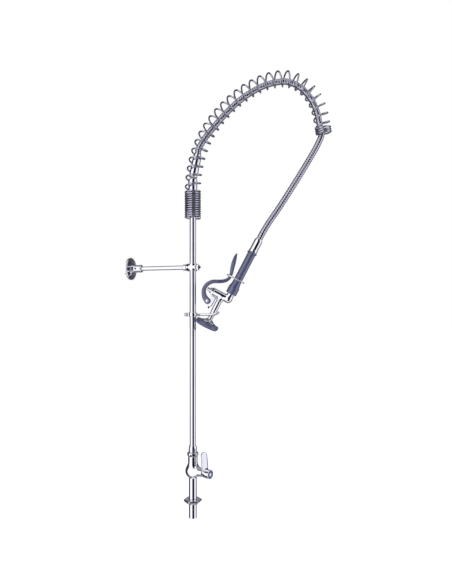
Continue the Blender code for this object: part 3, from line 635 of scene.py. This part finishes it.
def cast(node, distance, low, high, cell, at=RISER):
    """The closed surface where a distance function is 0, found on a grid of cells.

    Each cell that the surface crosses gets one point, which is then moved along the
    distance's gradient until it lies on the surface; the four cells round each crossed
    grid edge make a face.
    """
    lines = [np.arange(a - 2 * cell, b + 3 * cell, cell) for a, b in zip(low, high)]
    mesh = np.stack(np.meshgrid(*lines, indexing="ij"), -1)
    inside = distance(mesh) < 0
    wide, deep, tall = (count - 1 for count in inside.shape)
    corners = [inside[i:wide + i, j:deep + j, k:tall + k] for i, j, k in np.ndindex(2, 2, 2)]
    filled = sum(corner.astype(np.int8) for corner in corners)
    crossed = (filled > 0) & (filled < 8)
    index = np.full(crossed.shape, -1)
    index[crossed] = np.arange(crossed.sum())
    points = np.stack([lines[k][np.nonzero(crossed)[k]] + cell / 2 for k in range(3)], -1)

    faces = []
    for axis in range(3):
        first = np.take(inside, range(inside.shape[axis] - 1), axis)
        second = np.take(inside, range(1, inside.shape[axis]), axis)
        at_edge = np.argwhere(first != second)
        step_a, step_b = np.eye(3, dtype=int)[(axis + 1) % 3], np.eye(3, dtype=int)[(axis + 2) % 3]
        ring = [at_edge - p * step_a - q * step_b for p, q in ((1, 1), (0, 1), (0, 0), (1, 0))]
        quads = np.stack([index[tuple(cells.T)] for cells in ring], 1)
        outward = first[tuple(at_edge.T)]
        faces.append(np.where(outward[:, None], quads, quads[:, ::-1]))
    faces = np.vstack(faces)

    def gradient(p):
        h = cell * 0.02
        shifts = np.eye(3) * h
        return np.stack([distance(p + s) - distance(p - s) for s in shifts], -1) / (2 * h)

    def settle(p, rounds):
        for _ in range(rounds):
            g = gradient(p)
            move = distance(p)[:, None] * g / np.maximum((g * g).sum(-1, keepdims=True), 1e-6)
            p = p - np.clip(move, -cell, cell)
        return p

    points = settle(points, 3)
    pairs = np.vstack([faces[:, [k, (k + 1) % 4]] for k in range(4)])
    for _ in range(4):
        total = np.zeros_like(points)
        count = np.zeros(len(points))
        np.add.at(total, pairs[:, 0], points[pairs[:, 1]])
        np.add.at(count, pairs[:, 0], 1)
        points = settle(0.4 * points + 0.6 * total / count[:, None], 2)
    return wear(skin(node, points, faces.tolist(), unit(gradient(points)), at), node)


# ---- overhead spring and hose ----
# The spring's centre line and the hose's distance beside it are in the arch's own frame,
# whose XZ plane holds them; the hose's drop to the spray valve is in the world's.
SPRING_FOOT = 769.0
SPRING_ROUTE = [
    (0, 0, SPRING_FOOT), (0, 0, 806), (0, 0, 844), (1.2, 0, 870), (5.4, 0, 901.5), (15.6, 0, 943.5),
    (33.5, 0, 988), (58.5, 0, 1028), (88.5, 0, 1064), (122, 0, 1095.5), (158, 0, 1121),
    (198.5, 0, 1141), (240.5, 0, 1150.5), (272.5, 0, 1147), (304, 0, 1129.5), (330, 0, 1099.5),
    (345, 0, 1066), (352.5, 0, 1032), (357.5, 0, 1003),
]
HOSE_OFFSETS = (1.0, 6.5, 8.0, 8.0, 8.0, 8.0, 8.0, 8.0, 8.0, 8.0, 7.6, 6.8, 6.0)
HOSE_DROP = [
    (317, 113.5, 965.5), (296, 100, 924), (273.5, 85, 881), (249.5, 69.5, 837),
    (224, 55, 792.5), (199, 43.5, 752.5),
]


def smooth_curve(route, count):
    """Evenly spaced points on a Catmull-Rom curve through the route's points, and its length."""
    p = np.array(route, float)
    p = np.vstack((2 * p[0] - p[1], p, 2 * p[-1] - p[-2]))
    t = np.linspace(0, 1, 24, endpoint=False)[None, :, None]
    a, b, c, d = p[:-3, None], p[1:-2, None], p[2:-1, None], p[3:, None]
    dense = 0.5 * (2 * b + (c - a) * t + (2 * a - 5 * b + 4 * c - d) * t ** 2
                   + (3 * b - a - 3 * c + d) * t ** 3)
    dense = np.vstack((dense.reshape(-1, 3), p[-2]))
    run = run_along(dense)
    even = np.linspace(0, run[-1], count)
    return np.stack([np.interp(even, run, dense[:, k]) for k in range(3)], -1), run[-1]


def inner_side(points):
    """The direction square to an arch's path that points to its inner side."""
    ahead = unit(np.gradient(points, axis=0))
    return np.stack((ahead[:, 2], 0 * ahead[:, 0], -ahead[:, 0]), -1)


def make_hose():
    """The wound steel hose: a tube whose radius swells and dips once each turn of a helix."""
    along = FERRULE[1][:, 2]
    top = FERRULE[0] + along * FERRULE_LENGTH
    arch = np.array(SPRING_ROUTE, float)
    beside = (arch + inner_side(arch) * np.pad(HOSE_OFFSETS, (6, 0))[:, None])[6:] @ ARCH.T
    valve_up = SPRAY[1][:, 2]
    end = SPRAY[0] + valve_up * (UPPER_FERRULE_TOP + GAP)
    route = np.vstack((top + along * 3.6 * GAP, top + along * 16.0, beside,
                       HOSE_DROP, end + valve_up * 16.0, end + valve_up * 8.0, end))
    path, length = smooth_curve(route, 1130)
    run = np.linspace(0, length, len(path))[:, None]
    around = 28
    t = angles(around)[None]
    wound = 0.5 + 0.5 * np.cos(2 * math.pi * run / HOSE_PITCH - t)
    swell, dip = 0.10, 0.95
    radius = HOSE_R + swell - dip * (1 - wound ** 0.5)
    hose = swept("hose", path, radius, ACROSS, around)
    wear(hose, "spray_hose", False)
    return hose


def make_spring():
    """The spring's wire: a helix of coil radius round the arch's centre line, right-handed."""
    centre, length = smooth_curve(SPRING_ROUTE, 2000)
    inner = inner_side(centre)
    closed = CLOSED_TURNS * CLOSED_PITCH
    end = END_TURNS * CLOSED_PITCH
    turns = CLOSED_TURNS + OPEN_TURNS + END_TURNS
    turn = np.linspace(0, turns, turns * 36 + 1)
    knots = (0, CLOSED_TURNS, CLOSED_TURNS + OPEN_TURNS, turns)
    run = np.interp(turn, knots, (0, closed, length - end, length))
    even = np.linspace(0, length, len(centre))
    middle = np.stack([np.interp(run, even, centre[:, k]) for k in range(3)], -1)
    side = unit(np.stack([np.interp(run, even, inner[:, k]) for k in range(3)], -1))
    a = (2 * math.pi * turn)[:, None]
    out = side * np.cos(a) + np.array((0, 1, 0)) * np.sin(a)
    wire = middle + COIL_R * out
    spring = swept("spring", wire @ ARCH.T, WIRE_R, out @ ARCH.T, 12)
    return wear(spring, "overhead_spring", False)


def bend_with_valve(piece):
    """Bakes the piece's place in the world into its mesh."""
    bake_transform(piece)


# ---- base and riser ----
def make_deck_flange():
    """Six-sided flange on its tapered seat ring, with the round shank below them."""
    low, high = span("deck_seat_ring")
    corner = math.radians(-95.0 + 30.0)
    bore = 11.05
    turned("deck_seat_ring",
           [(bore, low), (17.6 * FLAT, low, 1), (23.0 * FLAT, high, 1), (bore, high)],
           fillet=0.5, start=corner)
    low, high = span("deck_flange")
    wide = 25.2 * FLAT
    turned("deck_flange",
           [(bore, low), (wide - 0.9, low, 1), (wide, low + 1.1, 1), (wide, high - 1.3, 1),
            (wide - 1.9, high, 1), (bore, high)],
           fillet=0.7, start=corner)
    low, high = span("inlet_shank")
    inside, outside = 7.4, 10.65
    turned("inlet_shank",
           [(inside, low), (9.9, low), (outside, low + 0.8), (outside, high), (inside, high)],
           fillet=0.3)


def make_body():
    """Valve body: neck, ball, barrel and collar blended as one casting."""
    foot, top = span("base_body")
    ball = 87.0
    screw_z = 130.6
    screw = (1, 0, 0), (0, -1, 0)

    def shape(p):
        r = off_axis(p)
        z = p[..., 2]
        neck = common(r - 10.75, between(z, foot, 80), 0.8)
        bulb = common(np.linalg.norm(p - (0, 0, ball), axis=-1) - 20.4, 69.5 - z, 3.0)
        tube = common(r - 13.0, between(z, ball, top - 2), 0.8)
        chamfer = np.maximum(screw_z - 1.0 - z, 0) * 0.9
        rim = common(r - 15.3 + chamfer, between(z, 127, top), 1.6)
        q = (p - HANDLE[0]) @ HANDLE[1]
        reach = q[..., 2]
        taper = 13.9 - np.clip((reach - 8) / 28, 0, 1) * 2.9
        barrel = common(off_axis(q) - taper, between(reach, 2, 37.5), 1.2)
        d = blended(blended(neck, bulb, 2.5), tube, 7.0)
        d = blended(blended(d, rim, 1.6), barrel, 7.0)
        hole = bar(local(p, (0, 0, screw_z), *screw), 2.9, 12.6, 22, 0.2)
        stem = bar(q, STEM_BORE, 20.0, 50.0, 0.2)
        return cut(cut(d, hole), stem)

    cast("base_body", shape, (-20.6, -27, foot), (38, 20.6, top), 0.8)
    set_screw("body_set_screw", within(RISER, (0, 0, screw_z), *screw), 2.5, 12.8, 14.9)


def set_screw(node, at, radius, low, high):
    """A socket set screw: a short bar with a six-sided recess in its outer end."""
    deep = high - 1.1
    turned(node, [(0, low), (radius, low), (radius, high), (radius * 0.56, high, 0.6),
                  (radius * 0.50, deep, 1), (0, deep)], at, 0.15, 24)


def make_base_lever():
    """Handle: hub and paddle blade blended, with the recess for the index button."""
    screw_z = 45.5
    screw_turn = math.radians(-80.0)
    # the screw lies square to the hub's axis, on the side that faces front and a little down
    screw = (0, 0, -1), (math.cos(screw_turn), math.sin(screw_turn), 0)

    def shape(p):
        s = p[..., 2]
        wide = np.interp(s, (38, 38.6, 50, 60), (10.8, 11.3, 12.1, 12.1))
        hub = common(off_axis(p) - wide, between(s, 38, 61.5), 1.4)
        q = local(p, (0, 0, 43.5), *tipped(-6.0))
        up, across, thick = -q[..., 0], q[..., 1], q[..., 2]
        half = np.interp(up, (4, 20, 38, 45), (11.6, 13.4, 12.9, 12.5))
        arc = np.hypot(across * 11.0 / 12.5, np.maximum(up - 45.0, 0)) - 11.0
        side = np.where(up > 45.0, arc, np.abs(across) - half)
        crown = np.abs(thick) - 2.4 + (across / 12.5) ** 6
        blade = common(common(side, 3.0 - up, 1.0), crown, 1.2)
        d = blended(hub, blade, 4.0)
        d = cut(d, bar(p, 10.1, 58.6, 70, 0.3), 0.5)
        d = cut(d, bar(p, STEM_BORE, 20, 58.3, 0.2), 0.3)
        return cut(d, bar(local(p, (0, 0, screw_z), *screw), 2.9, 8.0, 20, 0.2), 0.4)

    cast("base_lever", shape, (-57, -14, 36), (13, 14, 62), 0.75, HANDLE)
    set_screw("lever_set_screw", within(HANDLE, (0, 0, screw_z), *screw), 2.4, 8.4, 11.2)
    back, edge = 58.9, 61.0
    turned("index_ring",
           [(5.0, back), (9.7, back), (9.7, edge), (8.6, 61.3), (5.6, 61.3), (5.0, edge)],
           HANDLE, 0.3)
    turned("index_disc", [(0, back), (4.6, back), (4.6, edge), (2.4, 61.5), (0, 61.6)], HANDLE, 0.3)


def make_riser():
    """The riser with its nut below, and the spring's seat and the hose's nut on its top."""
    outside = corner_high("riser_pipe")[0]
    bore = outside + 0.4
    low, high = span("riser_nut")
    turned("riser_nut",
           [(bore, low), (11.2, low), (11.2, high - 7.0), (10.9, high - 5.0), (9.6, high - 1.0),
            (9.2, high), (bore, high)], fillet=0.8)
    low, high = span("riser_pipe")
    turned("riser_pipe", [(6.3, low), (outside, low), (outside, high), (6.3, high)], fillet=0.3)
    low, high = span("spring_seat")
    turned("spring_seat",
           [(bore, low), (15.0, low), (16.3, low + 2), (16.3, high - 6), (12.4, high),
            (bore, high)])
    low, high = span("hose_swivel_nut")
    turned("hose_swivel_nut",
           [(0, low), (12.0, low), (12.0, 858.0), (12.4, 859.0), (12.4, 872.0), (11.0, high),
            (0, high)])
    turned("hose_ferrule_lower",
           [(0, 0), (10.2, 0), (11.6, 1.6), (11.6, 6.0), (11.1, 7.0), (11.1, 9.0), (11.6, 10.0),
            (11.6, FERRULE_LENGTH - 9.0), (9.35, FERRULE_LENGTH), (0, FERRULE_LENGTH)],
           FERRULE, 0.8)


# ---- wall bracket and hook ----
def make_wall_plate():
    """Wall flange with two screws, and the boss with its set screw that holds the tube.

    The flange is a dished disc whose face falls from the boss to the rim.
    """
    rim = corner_high("wall_flange")[1]
    holes = ((13.5, -13.5), (-13.5, 13.5))

    def shape(p):
        r = off_axis(p)
        face = np.interp(r, (0, 13, 18, 25, rim), (7.0, 6.8, 6.2, 5.4, 4.8))
        d = common(common(r - rim, -p[..., 2], 0.8), (p[..., 2] - face) * 0.98, 2.4)
        for x, y in holes:
            straight = off_axis(p - (x, y, 0)) - 2.6
            sunk = (straight - np.maximum(p[..., 2] - 1.2, 0)) * 0.7
            d = cut(d, np.minimum(straight, sunk), 0.4)
        return d

    cast("wall_flange", shape, (-rim, -rim, 0), (rim, rim, 7.2), 0.85, WALL)
    for node, (x, y) in zip(("wall_screw_lower", "wall_screw_upper"), holes):
        at = within(WALL, (x, y, 0), (1, 0, 0), UP)
        turned(node,
               [(0, -10.5), (0.7, -10.0), (2.1, -6.0), (2.1, 1.0), (4.7, 4.2), (4.7, 5.0),
                (2.3, 5.7), (1.9, 5.5, 1), (1.5, 4.2, 1), (0, 3.9)], at, 0.3, 32)

    screw = (0, 0, 20.5), UP, (0, -1, 0)

    def boss(p):
        s = p[..., 2]
        wide = np.interp(s, (7.4, 10.0, 31.6, 32.8, 34.6, 36),
                         (11.6, 10.5, 10.5, 10.9, 10.9, 9.6))
        d = common(off_axis(p) - wide, between(s, 7.4, 36), 0.8)
        d = cut(d, bar(p, SOCKET_R, 11.5, 50, 0.2), 0.5)
        return cut(d, bar(local(p, *screw), 2.4, 7.3, 16, 0.2), 0.4)

    cast("wall_boss", boss, (-12, -12, 7.4), (12, 12, 36), 0.7, WALL)
    set_screw("boss_set_screw", within(WALL, *screw), 2.0, 7.7, 9.8)
    radius = corner_high("bracket_tube")[1]
    turned("bracket_tube", [(0, 12.0), (radius, 12.0), (radius, 168.0), (0, 168.0)], WALL, 0.4)


def paint_hole_shade(piece, centres, radius, outer):
    """The walls of the holes along Y through the given (X, Z) centres are coloured near black: painted shade for
    the inside of the holes.
    """
    data = piece.data
    # a near-black material on the hole walls: painted shade
    data.materials.append(MATERIALS["dark_steel"])
    middle = np.empty(3 * len(data.polygons))
    data.polygons.foreach_get("center", middle)
    middle = middle.reshape(-1, 3) / MM
    inside = np.zeros(len(middle), bool)
    for x, z in centres:
        near = np.hypot(middle[:, 0] - x, middle[:, 2] - z) < radius
        inside |= near & (middle[:, 1] > outer) & (middle[:, 1] < 4.0)
    data.polygons.foreach_set("material_index", inside.astype(np.int32))


def make_riser_clamp():
    """Riser clamp: a split ring with a tail for the bracket tube and two blind holes in it."""
    hole_x, hole_r = -12.0, 3.0
    heights = (-5.0, 5.0)

    def shape(p):
        ring = bar(p, 10.9, -10.2, 10.2, 1.2)
        tail = block(p, (-17.5, -4.6, -8.6), (-9.0, 4.6, 8.6), 1.2)
        q = local(p, (0, 0, 0), UP, (-1, 0, 0))
        neck = bar(q, 8.4, 16.5, 27.0, 1.2)
        nose = bar(local(p, (0, 0, 0), UP, (1, 0, 0)), 5.4, 9.0, 11.2, 0.6)
        barrel = bar(q, 10.2, -11.0, 17.2, 2.2)
        d = blended(blended(blended(blended(ring, tail, 2.5), barrel, 2.0), neck, 2.0), nose, 1.0)
        d = cut(d, bar(q, SOCKET_R, 18.4, 40, 0.2), 0.4)
        d = cut(d, bar(p, CLAMP_BORE, -20, 20, 0.2), 0.4)
        for height in heights:
            hole = local(p, (hole_x, 0, height), (1, 0, 0), (0, -1, 0))
            d = cut(d, bar(hole, hole_r, 1.5, 14, 0.2), 0.3)
        split = block(p, (-30, -0.4, -12), (-9.0, 0.4, 12), 0.2)
        return cut(d, np.maximum(split, -(p[..., 0] + 17.0)), 0.3)

    clamp = cast("riser_clamp", shape, (-27, -11, -10.3), (11.3, 11, 10.3), 0.7, CLAMP)
    # painted shade: the walls of the clamp's blind holes are coloured near black
    paint_hole_shade(clamp, [(hole_x, BRACKET_Z + height) for height in heights], hole_r + 0.2, -9.6)
    bolt = within(CLAMP, (0, 0, 0), (0, 0, -1), (1, 0, 0))
    turned("clamp_stud",
           [(0, 11.5), (2.8, 11.5), (2.8, 21.4), (2.2, 22.0), (0, 22.0)], bolt, 0.3, 32)
    turned("clamp_nut",
           [(3.2, 11.9), (6.9, 11.9), (7.6, 12.5, 1), (7.6, 17.0, 1), (6.9, 17.6), (3.2, 17.6)],
           bolt, 0.3, 48)


def make_hook():
    """Hook clamp and its two-finger fork, one bent wire that turns up at the tips."""
    def shape(p):
        ring = bar(p, 10.6, -5.4, 5.4, 1.0)
        ear = block(p, (-14.4, -3.6, -4.4), (-8.0, 3.6, 4.4), 1.2)
        root = block(p, (8.0, -3.4, -3.6), (13.4, 3.4, 3.6), 1.2)
        d = blended(blended(ring, ear, 2.5), root, 2.5)
        d = cut(d, bar(p, CLAMP_BORE, -20, 20, 0.2), 0.4)
        return cut(d, np.maximum(np.abs(p[..., 1]) - 0.4, p[..., 0] + 9.0), 0.3)

    cast("hook_clamp", shape, (-14.5, -10.7, -5.5), (13.5, 10.7, 5.5), 0.65, HOOK)
    side = within(HOOK, (0, 0, 0), UP, (-1, 0, 0))
    turned("hook_clamp_washer", [(2.2, 14.8), (5.2, 14.8), (5.2, 16.2), (2.2, 16.2)], side, 0.3)
    turned("hook_clamp_screw",
           [(0, 14.9), (1.9, 14.9), (1.9, 18.0), (4.6, 18.0), (4.9, 18.6), (4.9, 21.0), (3.6, 23.2),
            (2.0, 23.8), (1.8, 23.2, 1), (1.5, 22.0, 1), (0, 21.8)], side, 0.5, 48)

    reach, wide = 16.7, 11.9
    a = np.linspace(0, math.pi / 2, 6)[1:]
    bow = np.stack((28.3 - wide * np.cos(a), -wide * np.sin(a), -0.8 + 0.3 * a / a[-1]), -1)
    finger = [(42, -wide, 0.0), (56, -wide, 0.8), (62, -wide, 1.8), (66.5, -wide, 4.0),
              (69.8, -wide, 8.2)]
    half = np.vstack(((reach, 0, -0.8), bow, finger))
    path, length = smooth_curve(np.vstack((half[:0:-1] * (1, -1, 1), half)), 260)
    run = np.linspace(0, length, len(path))
    tip = 3.2
    from_end = np.minimum(np.minimum(run, length - run) / tip, 1)
    radius = tip * np.sqrt(np.maximum(1 - (1 - from_end) ** 2, 0.0004))
    piece = swept("finger_hook", path, radius[:, None], UP, 20, at=HOOK)
    wear(piece, "finger_hook")


# ---- spray valve ----
def make_valve_body():
    """Spray valve body: barrel, elbow, neck and spout boss blended as one casting."""
    def shape(p):
        q = local(p, (0, 0, 0), *ALONG_BARREL)
        barrel = bar(q, 10.2, 0.0, 43.0, 1.2)
        elbow = np.linalg.norm(p, axis=-1) - 10.8
        neck = bar(p, 9.9, 1.0, 15.2, 0.6)
        boss = bar(p - (SPOUT_X, 0, 0), 9.0, -15.6, -2, 0.8)
        d = blended(blended(blended(barrel, elbow, 2.0), neck, 3.0), boss, 3.5)
        return cut(d, bar(q, 5.2, 32.5, 60, 0.2), 0.4)

    cast("valve_body", shape, (-43.2, -10.9, -15.8), (11, 10.9, 15.4), 0.7, SPRAY)
    turned("bonnet_nut",
           [(8.3, 43.3), (9.7, 43.3), (10.57, 44.2, 1), (10.57, 49.1, 1), (9.7, 50.0), (8.3, 50.0)],
           BARREL, 0.4, 48)
    turned("bonnet_sleeve",
           [(5.2, 43.5), (7.8, 43.5), (7.8, 51.6), (7.2, 52.0), (7.2, 52.8), (7.8, 53.2),
            (7.8, 55.0), (5.2, 55.0)], BARREL, 0.4)
    turned("plunger", [(0, 37.0), (4.6, 37.0), (4.6, 61.4), (3.8, 62.6), (0, 63.0)], BARREL, 0.8)


def make_lug():
    """Lug that carries the lever's pin: a plate cut to an outline, its edges eased."""
    outline = [(-42.6, -10.9), (-44.5, -15.0), (-51.6, -26.0), (-51.6, -32.5), (-48.0, -36.0),
               (-40.5, -40.5), (-35.0, -41.0), (-31.0, -37.5), (-30.2, -28.0), (-30.2, -10.9)]

    def shape(p):
        x, z = p[..., 0], p[..., 2]
        d = common(outline_distance(x, z, outline), np.abs(p[..., 1]) - 3.9, 1.6)
        return cut(d, np.hypot(x - PIVOT[0], z - PIVOT[1]) - PIN_BORE, 0.4)

    cast("pivot_lug", shape, (-52, -4, -41.2), (-30, 4, -10.8), 0.6, SPRAY)
    turned("stop_screw",
           [(0, -6.0), (1.5, -6.0), (1.5, 0.9), (2.7, 0.9), (2.7, 3.6), (2.0, 4.4), (1.2, 4.5, 1),
            (1.0, 3.4, 1), (0, 3.3)], STOP, 0.3, 32)
    turned("lever_pivot_pin",
           [(0, -9.6), (2.6, -9.6), (2.6, 8.8), (4.6, 8.8), (4.6, 10.4), (3.6, 11.2), (0, 11.4)],
           PIN, 0.5, 48)


def make_head():
    """Spout, guard plate, bumper and the spray face inside it, all on the spout's axis."""
    turned("spout",
           [(0, -70.5), (6.9, -70.5), (7.1, -60.0), (7.9, -42.0), (7.9, -17.0), (7.3, -15.9),
            (0, -15.9)], HEAD, (0.5, 0.5, 6, 6, 0.5, 0.5, 0.5))
    turned("head_plate",
           [(0, -79.4), (19.4, -79.4), (19.8, -78.8), (19.4, -77.4), (12.0, -74.0), (9.6, -71.2),
            (8.8, -70.8), (0, -70.8)], HEAD, (0.3, 0.4, 0.4, 0.6, 3, 1, 0.4, 0.3))
    r = HEAD_R
    turned("bumper",
           [(6.0, -84.4), (r - 9.0, -84.4), (r - 8.6, -93.0), (r - 6.4, -94.0), (r - 4.0, -93.2),
            (r - 1.2, -89.9), (r - 1.3, -88.6), (r - 0.1, -88.0), (r, -84.6), (r - 1.3, -84.0),
            (r - 1.3, -83.0), (r - 0.1, -82.4), (r - 0.8, -80.6), (r - 3.0, -79.7), (6.0, -79.7)],
           HEAD, 0.7, 96)
    holes = 10
    circle = 17.0

    def face(p):
        d = bar(p, r - 9.5, -89.0, -84.8, 0.8)
        angle = np.arctan2(p[..., 1], p[..., 0])
        step = 2 * math.pi / holes
        near = (angle + step / 2) % step - step / 2
        spread = off_axis(p)
        jet = np.hypot(spread * np.cos(near) - circle, spread * np.sin(near)) - 1.3
        return cut(d, np.maximum(jet, p[..., 2] + 86.0), 0.4)

    cast("spray_face", face, (-r + 9, -r + 9, -89.2), (r - 9, r - 9, -84.6), 0.6, HEAD)
    down = within(HEAD, (0, 0, 0), (1, 0, 0), (0, 0, -1))
    turned("face_screw",
           [(0, 89.3), (4.4, 89.3), (4.2, 91.0), (2.6, 92.2), (1.8, 92.3, 1), (1.5, 91.2, 1),
            (0, 91.1)], down, 0.3, 48)


def make_grip():
    """Grip, its collar and the hose's upper ferrule, all turned on the spray valve's axis."""
    turned("grip",
           [(8.1, 15.8), (13.8, 15.8), (14.7, 17.0), (15.0, 33.5), (14.6, 35.5), (12.6, 41.5),
            (11.6, 49.0), (11.3, 56.0), (11.1, 96.0), (11.3, GRIP_TOP - GAP),
            (8.1, GRIP_TOP - GAP)],
           SPRAY, (0.4, 1, 1, 2, 2, 4, 4, 6, 20, 0.5, 0.4), 80)
    turned("grip_collar",
           [(8.1, GRIP_TOP), (12.6, GRIP_TOP), (13.7, GRIP_TOP + 1.2), (13.7, GRIP_TOP + 3.6),
            (12.6, GRIP_TOP + 4.8), (8.1, GRIP_TOP + 4.8)], SPRAY, 0.8)
    foot = GRIP_TOP + 5.1
    top = UPPER_FERRULE_TOP
    turned("hose_ferrule_upper",
           [(0, foot), (11.4, foot), (11.8, foot + 0.8), (11.8, foot + 5.9), (11.2, foot + 6.9),
            (11.2, top - 5.0), (9.6, top), (0, top)], SPRAY, 0.8)


def make_lever():
    """Squeeze lever: a bar whose half thickness and half width change along a curved line.

    Its distance is the rounded common part of two: from the curve in the lever's plane,
    less the half thickness, and from the plane, less the half width.
    """
    route = np.array([
        (-47.0, -29.5, 8.0, 8.4), (-57.6, -24.6, 7.0, 8.4), (-66.0, -15.6, 5.4, 8.6),
        (-70.6, -3.8, 5.0, 8.6), (-68.4, 10.2, 4.9, 8.6), (-59.3, 22.6, 4.9, 8.4),
        (-45.4, 30.2, 4.8, 8.0), (-33.0, 37.8, 4.7, 7.0), (-25.6, 46.6, 4.3, 6.2),
        (-23.0, 56.0, 3.7, 6.0), (-24.4, 65.0, 4.3, 6.4), (-28.4, 79.0, 5.1, 8.4),
        (-31.8, 93.0, 5.2, 9.2), (-34.4, 106.5, 4.2, 8.4), (-35.8, 116.8, 2.4, 5.0),
    ])
    count = 90
    line, _ = smooth_curve(np.stack((route[:, 0], route[:, 1], 0 * route[:, 0]), -1), count)
    spaced = run_along(route[:, :2])
    even = np.linspace(0, spaced[-1], count)
    thick, wide = (np.interp(even, spaced, route[:, k]) for k in (2, 3))
    a = line[:-1, :2] - np.array(PIVOT)
    run = np.diff(line[:, :2], axis=0)

    def nearest(x, z):
        """Distance in the plane to the line, with the half thickness and width there."""
        q = np.stack((x, z), -1)[..., None, :]
        t = np.clip(((q - a) * run).sum(-1) / (run * run).sum(-1), 0, 1)
        far = np.linalg.norm(q - a - t[..., None] * run, axis=-1)
        best = far.argmin(-1)[..., None]
        f = np.take_along_axis(t, best, -1)[..., 0]
        k = best[..., 0]
        return (np.take_along_axis(far, best, -1)[..., 0],
                thick[k] * (1 - f) + thick[k + 1] * f, wide[k] * (1 - f) + wide[k + 1] * f)

    def shape(p):
        if p.ndim == 4:
            plane = nearest(p[:, 0, :, 0], p[:, 0, :, 2])
            away, t, w = (field[:, None] for field in plane)
        else:
            away, t, w = nearest(p[..., 0], p[..., 2])
        d = common(away - t, np.abs(p[..., 1]) - w, 3.2)
        from_pin = np.hypot(p[..., 0], p[..., 2])
        end = common(from_pin - 8.4, np.abs(p[..., 1]) - 8.4, 1.6)
        slot = block(local(p, (0, 0, 0), *tipped(4.0)), (-9.5, -4.4, -16.0), (19.0, 4.4, 21.0), 1.0)
        d = cut(blended(d, end, 1.0), slot, 0.8)
        return cut(d, from_pin - PIN_BORE, 0.4)

    cast("squeeze_lever", shape, (-30, -9.4, -10), (29.5, 9.4, 153), 0.8, LEVER)


def make_hold_ring():
    """Hold ring: a round wire bent to an oval, then smoothed.

    Along each axis the oval is a half width times the cosine, or the sine, to a power.
    """
    power = 0.72
    a = angles(160)
    c, s = (np.sign(wave) * np.abs(wave) ** power for wave in (np.cos(a), np.sin(a)))
    loop = np.stack((24.4 * c, 16.6 * s, 0 * a), -1)
    for _ in range(3):
        loop = (np.roll(loop, 1, 0) + loop + np.roll(loop, -1, 0)) / 3
    at = within(SPRAY, (-7.4, 0, 57.7), (1, 0, 0), UP)
    ring = swept("hold_ring", loop, 2.0, UP, 16, True, at)
    wear(ring, "hold_ring")


def dress_hidden_nodes():
    """The pieces that stay as the CAD model has them get their finish."""
    for node in ("base_stem", "grip_tube"):
        data = frame["nodes"][node].data
        data.materials.clear()
        data.materials.append(MATERIALS[SLOTS[node]])


set_camera()
hose = make_hose()
spring = make_spring()
for piece in (hose, spring):
    bend_with_valve(piece)
make_deck_flange()
make_body()
make_base_lever()
make_riser()
make_wall_plate()
make_riser_clamp()
make_hook()
make_valve_body()
make_lug()
make_head()
make_grip()
make_lever()
make_hold_ring()
dress_hidden_nodes()
set_floor()
set_studio()
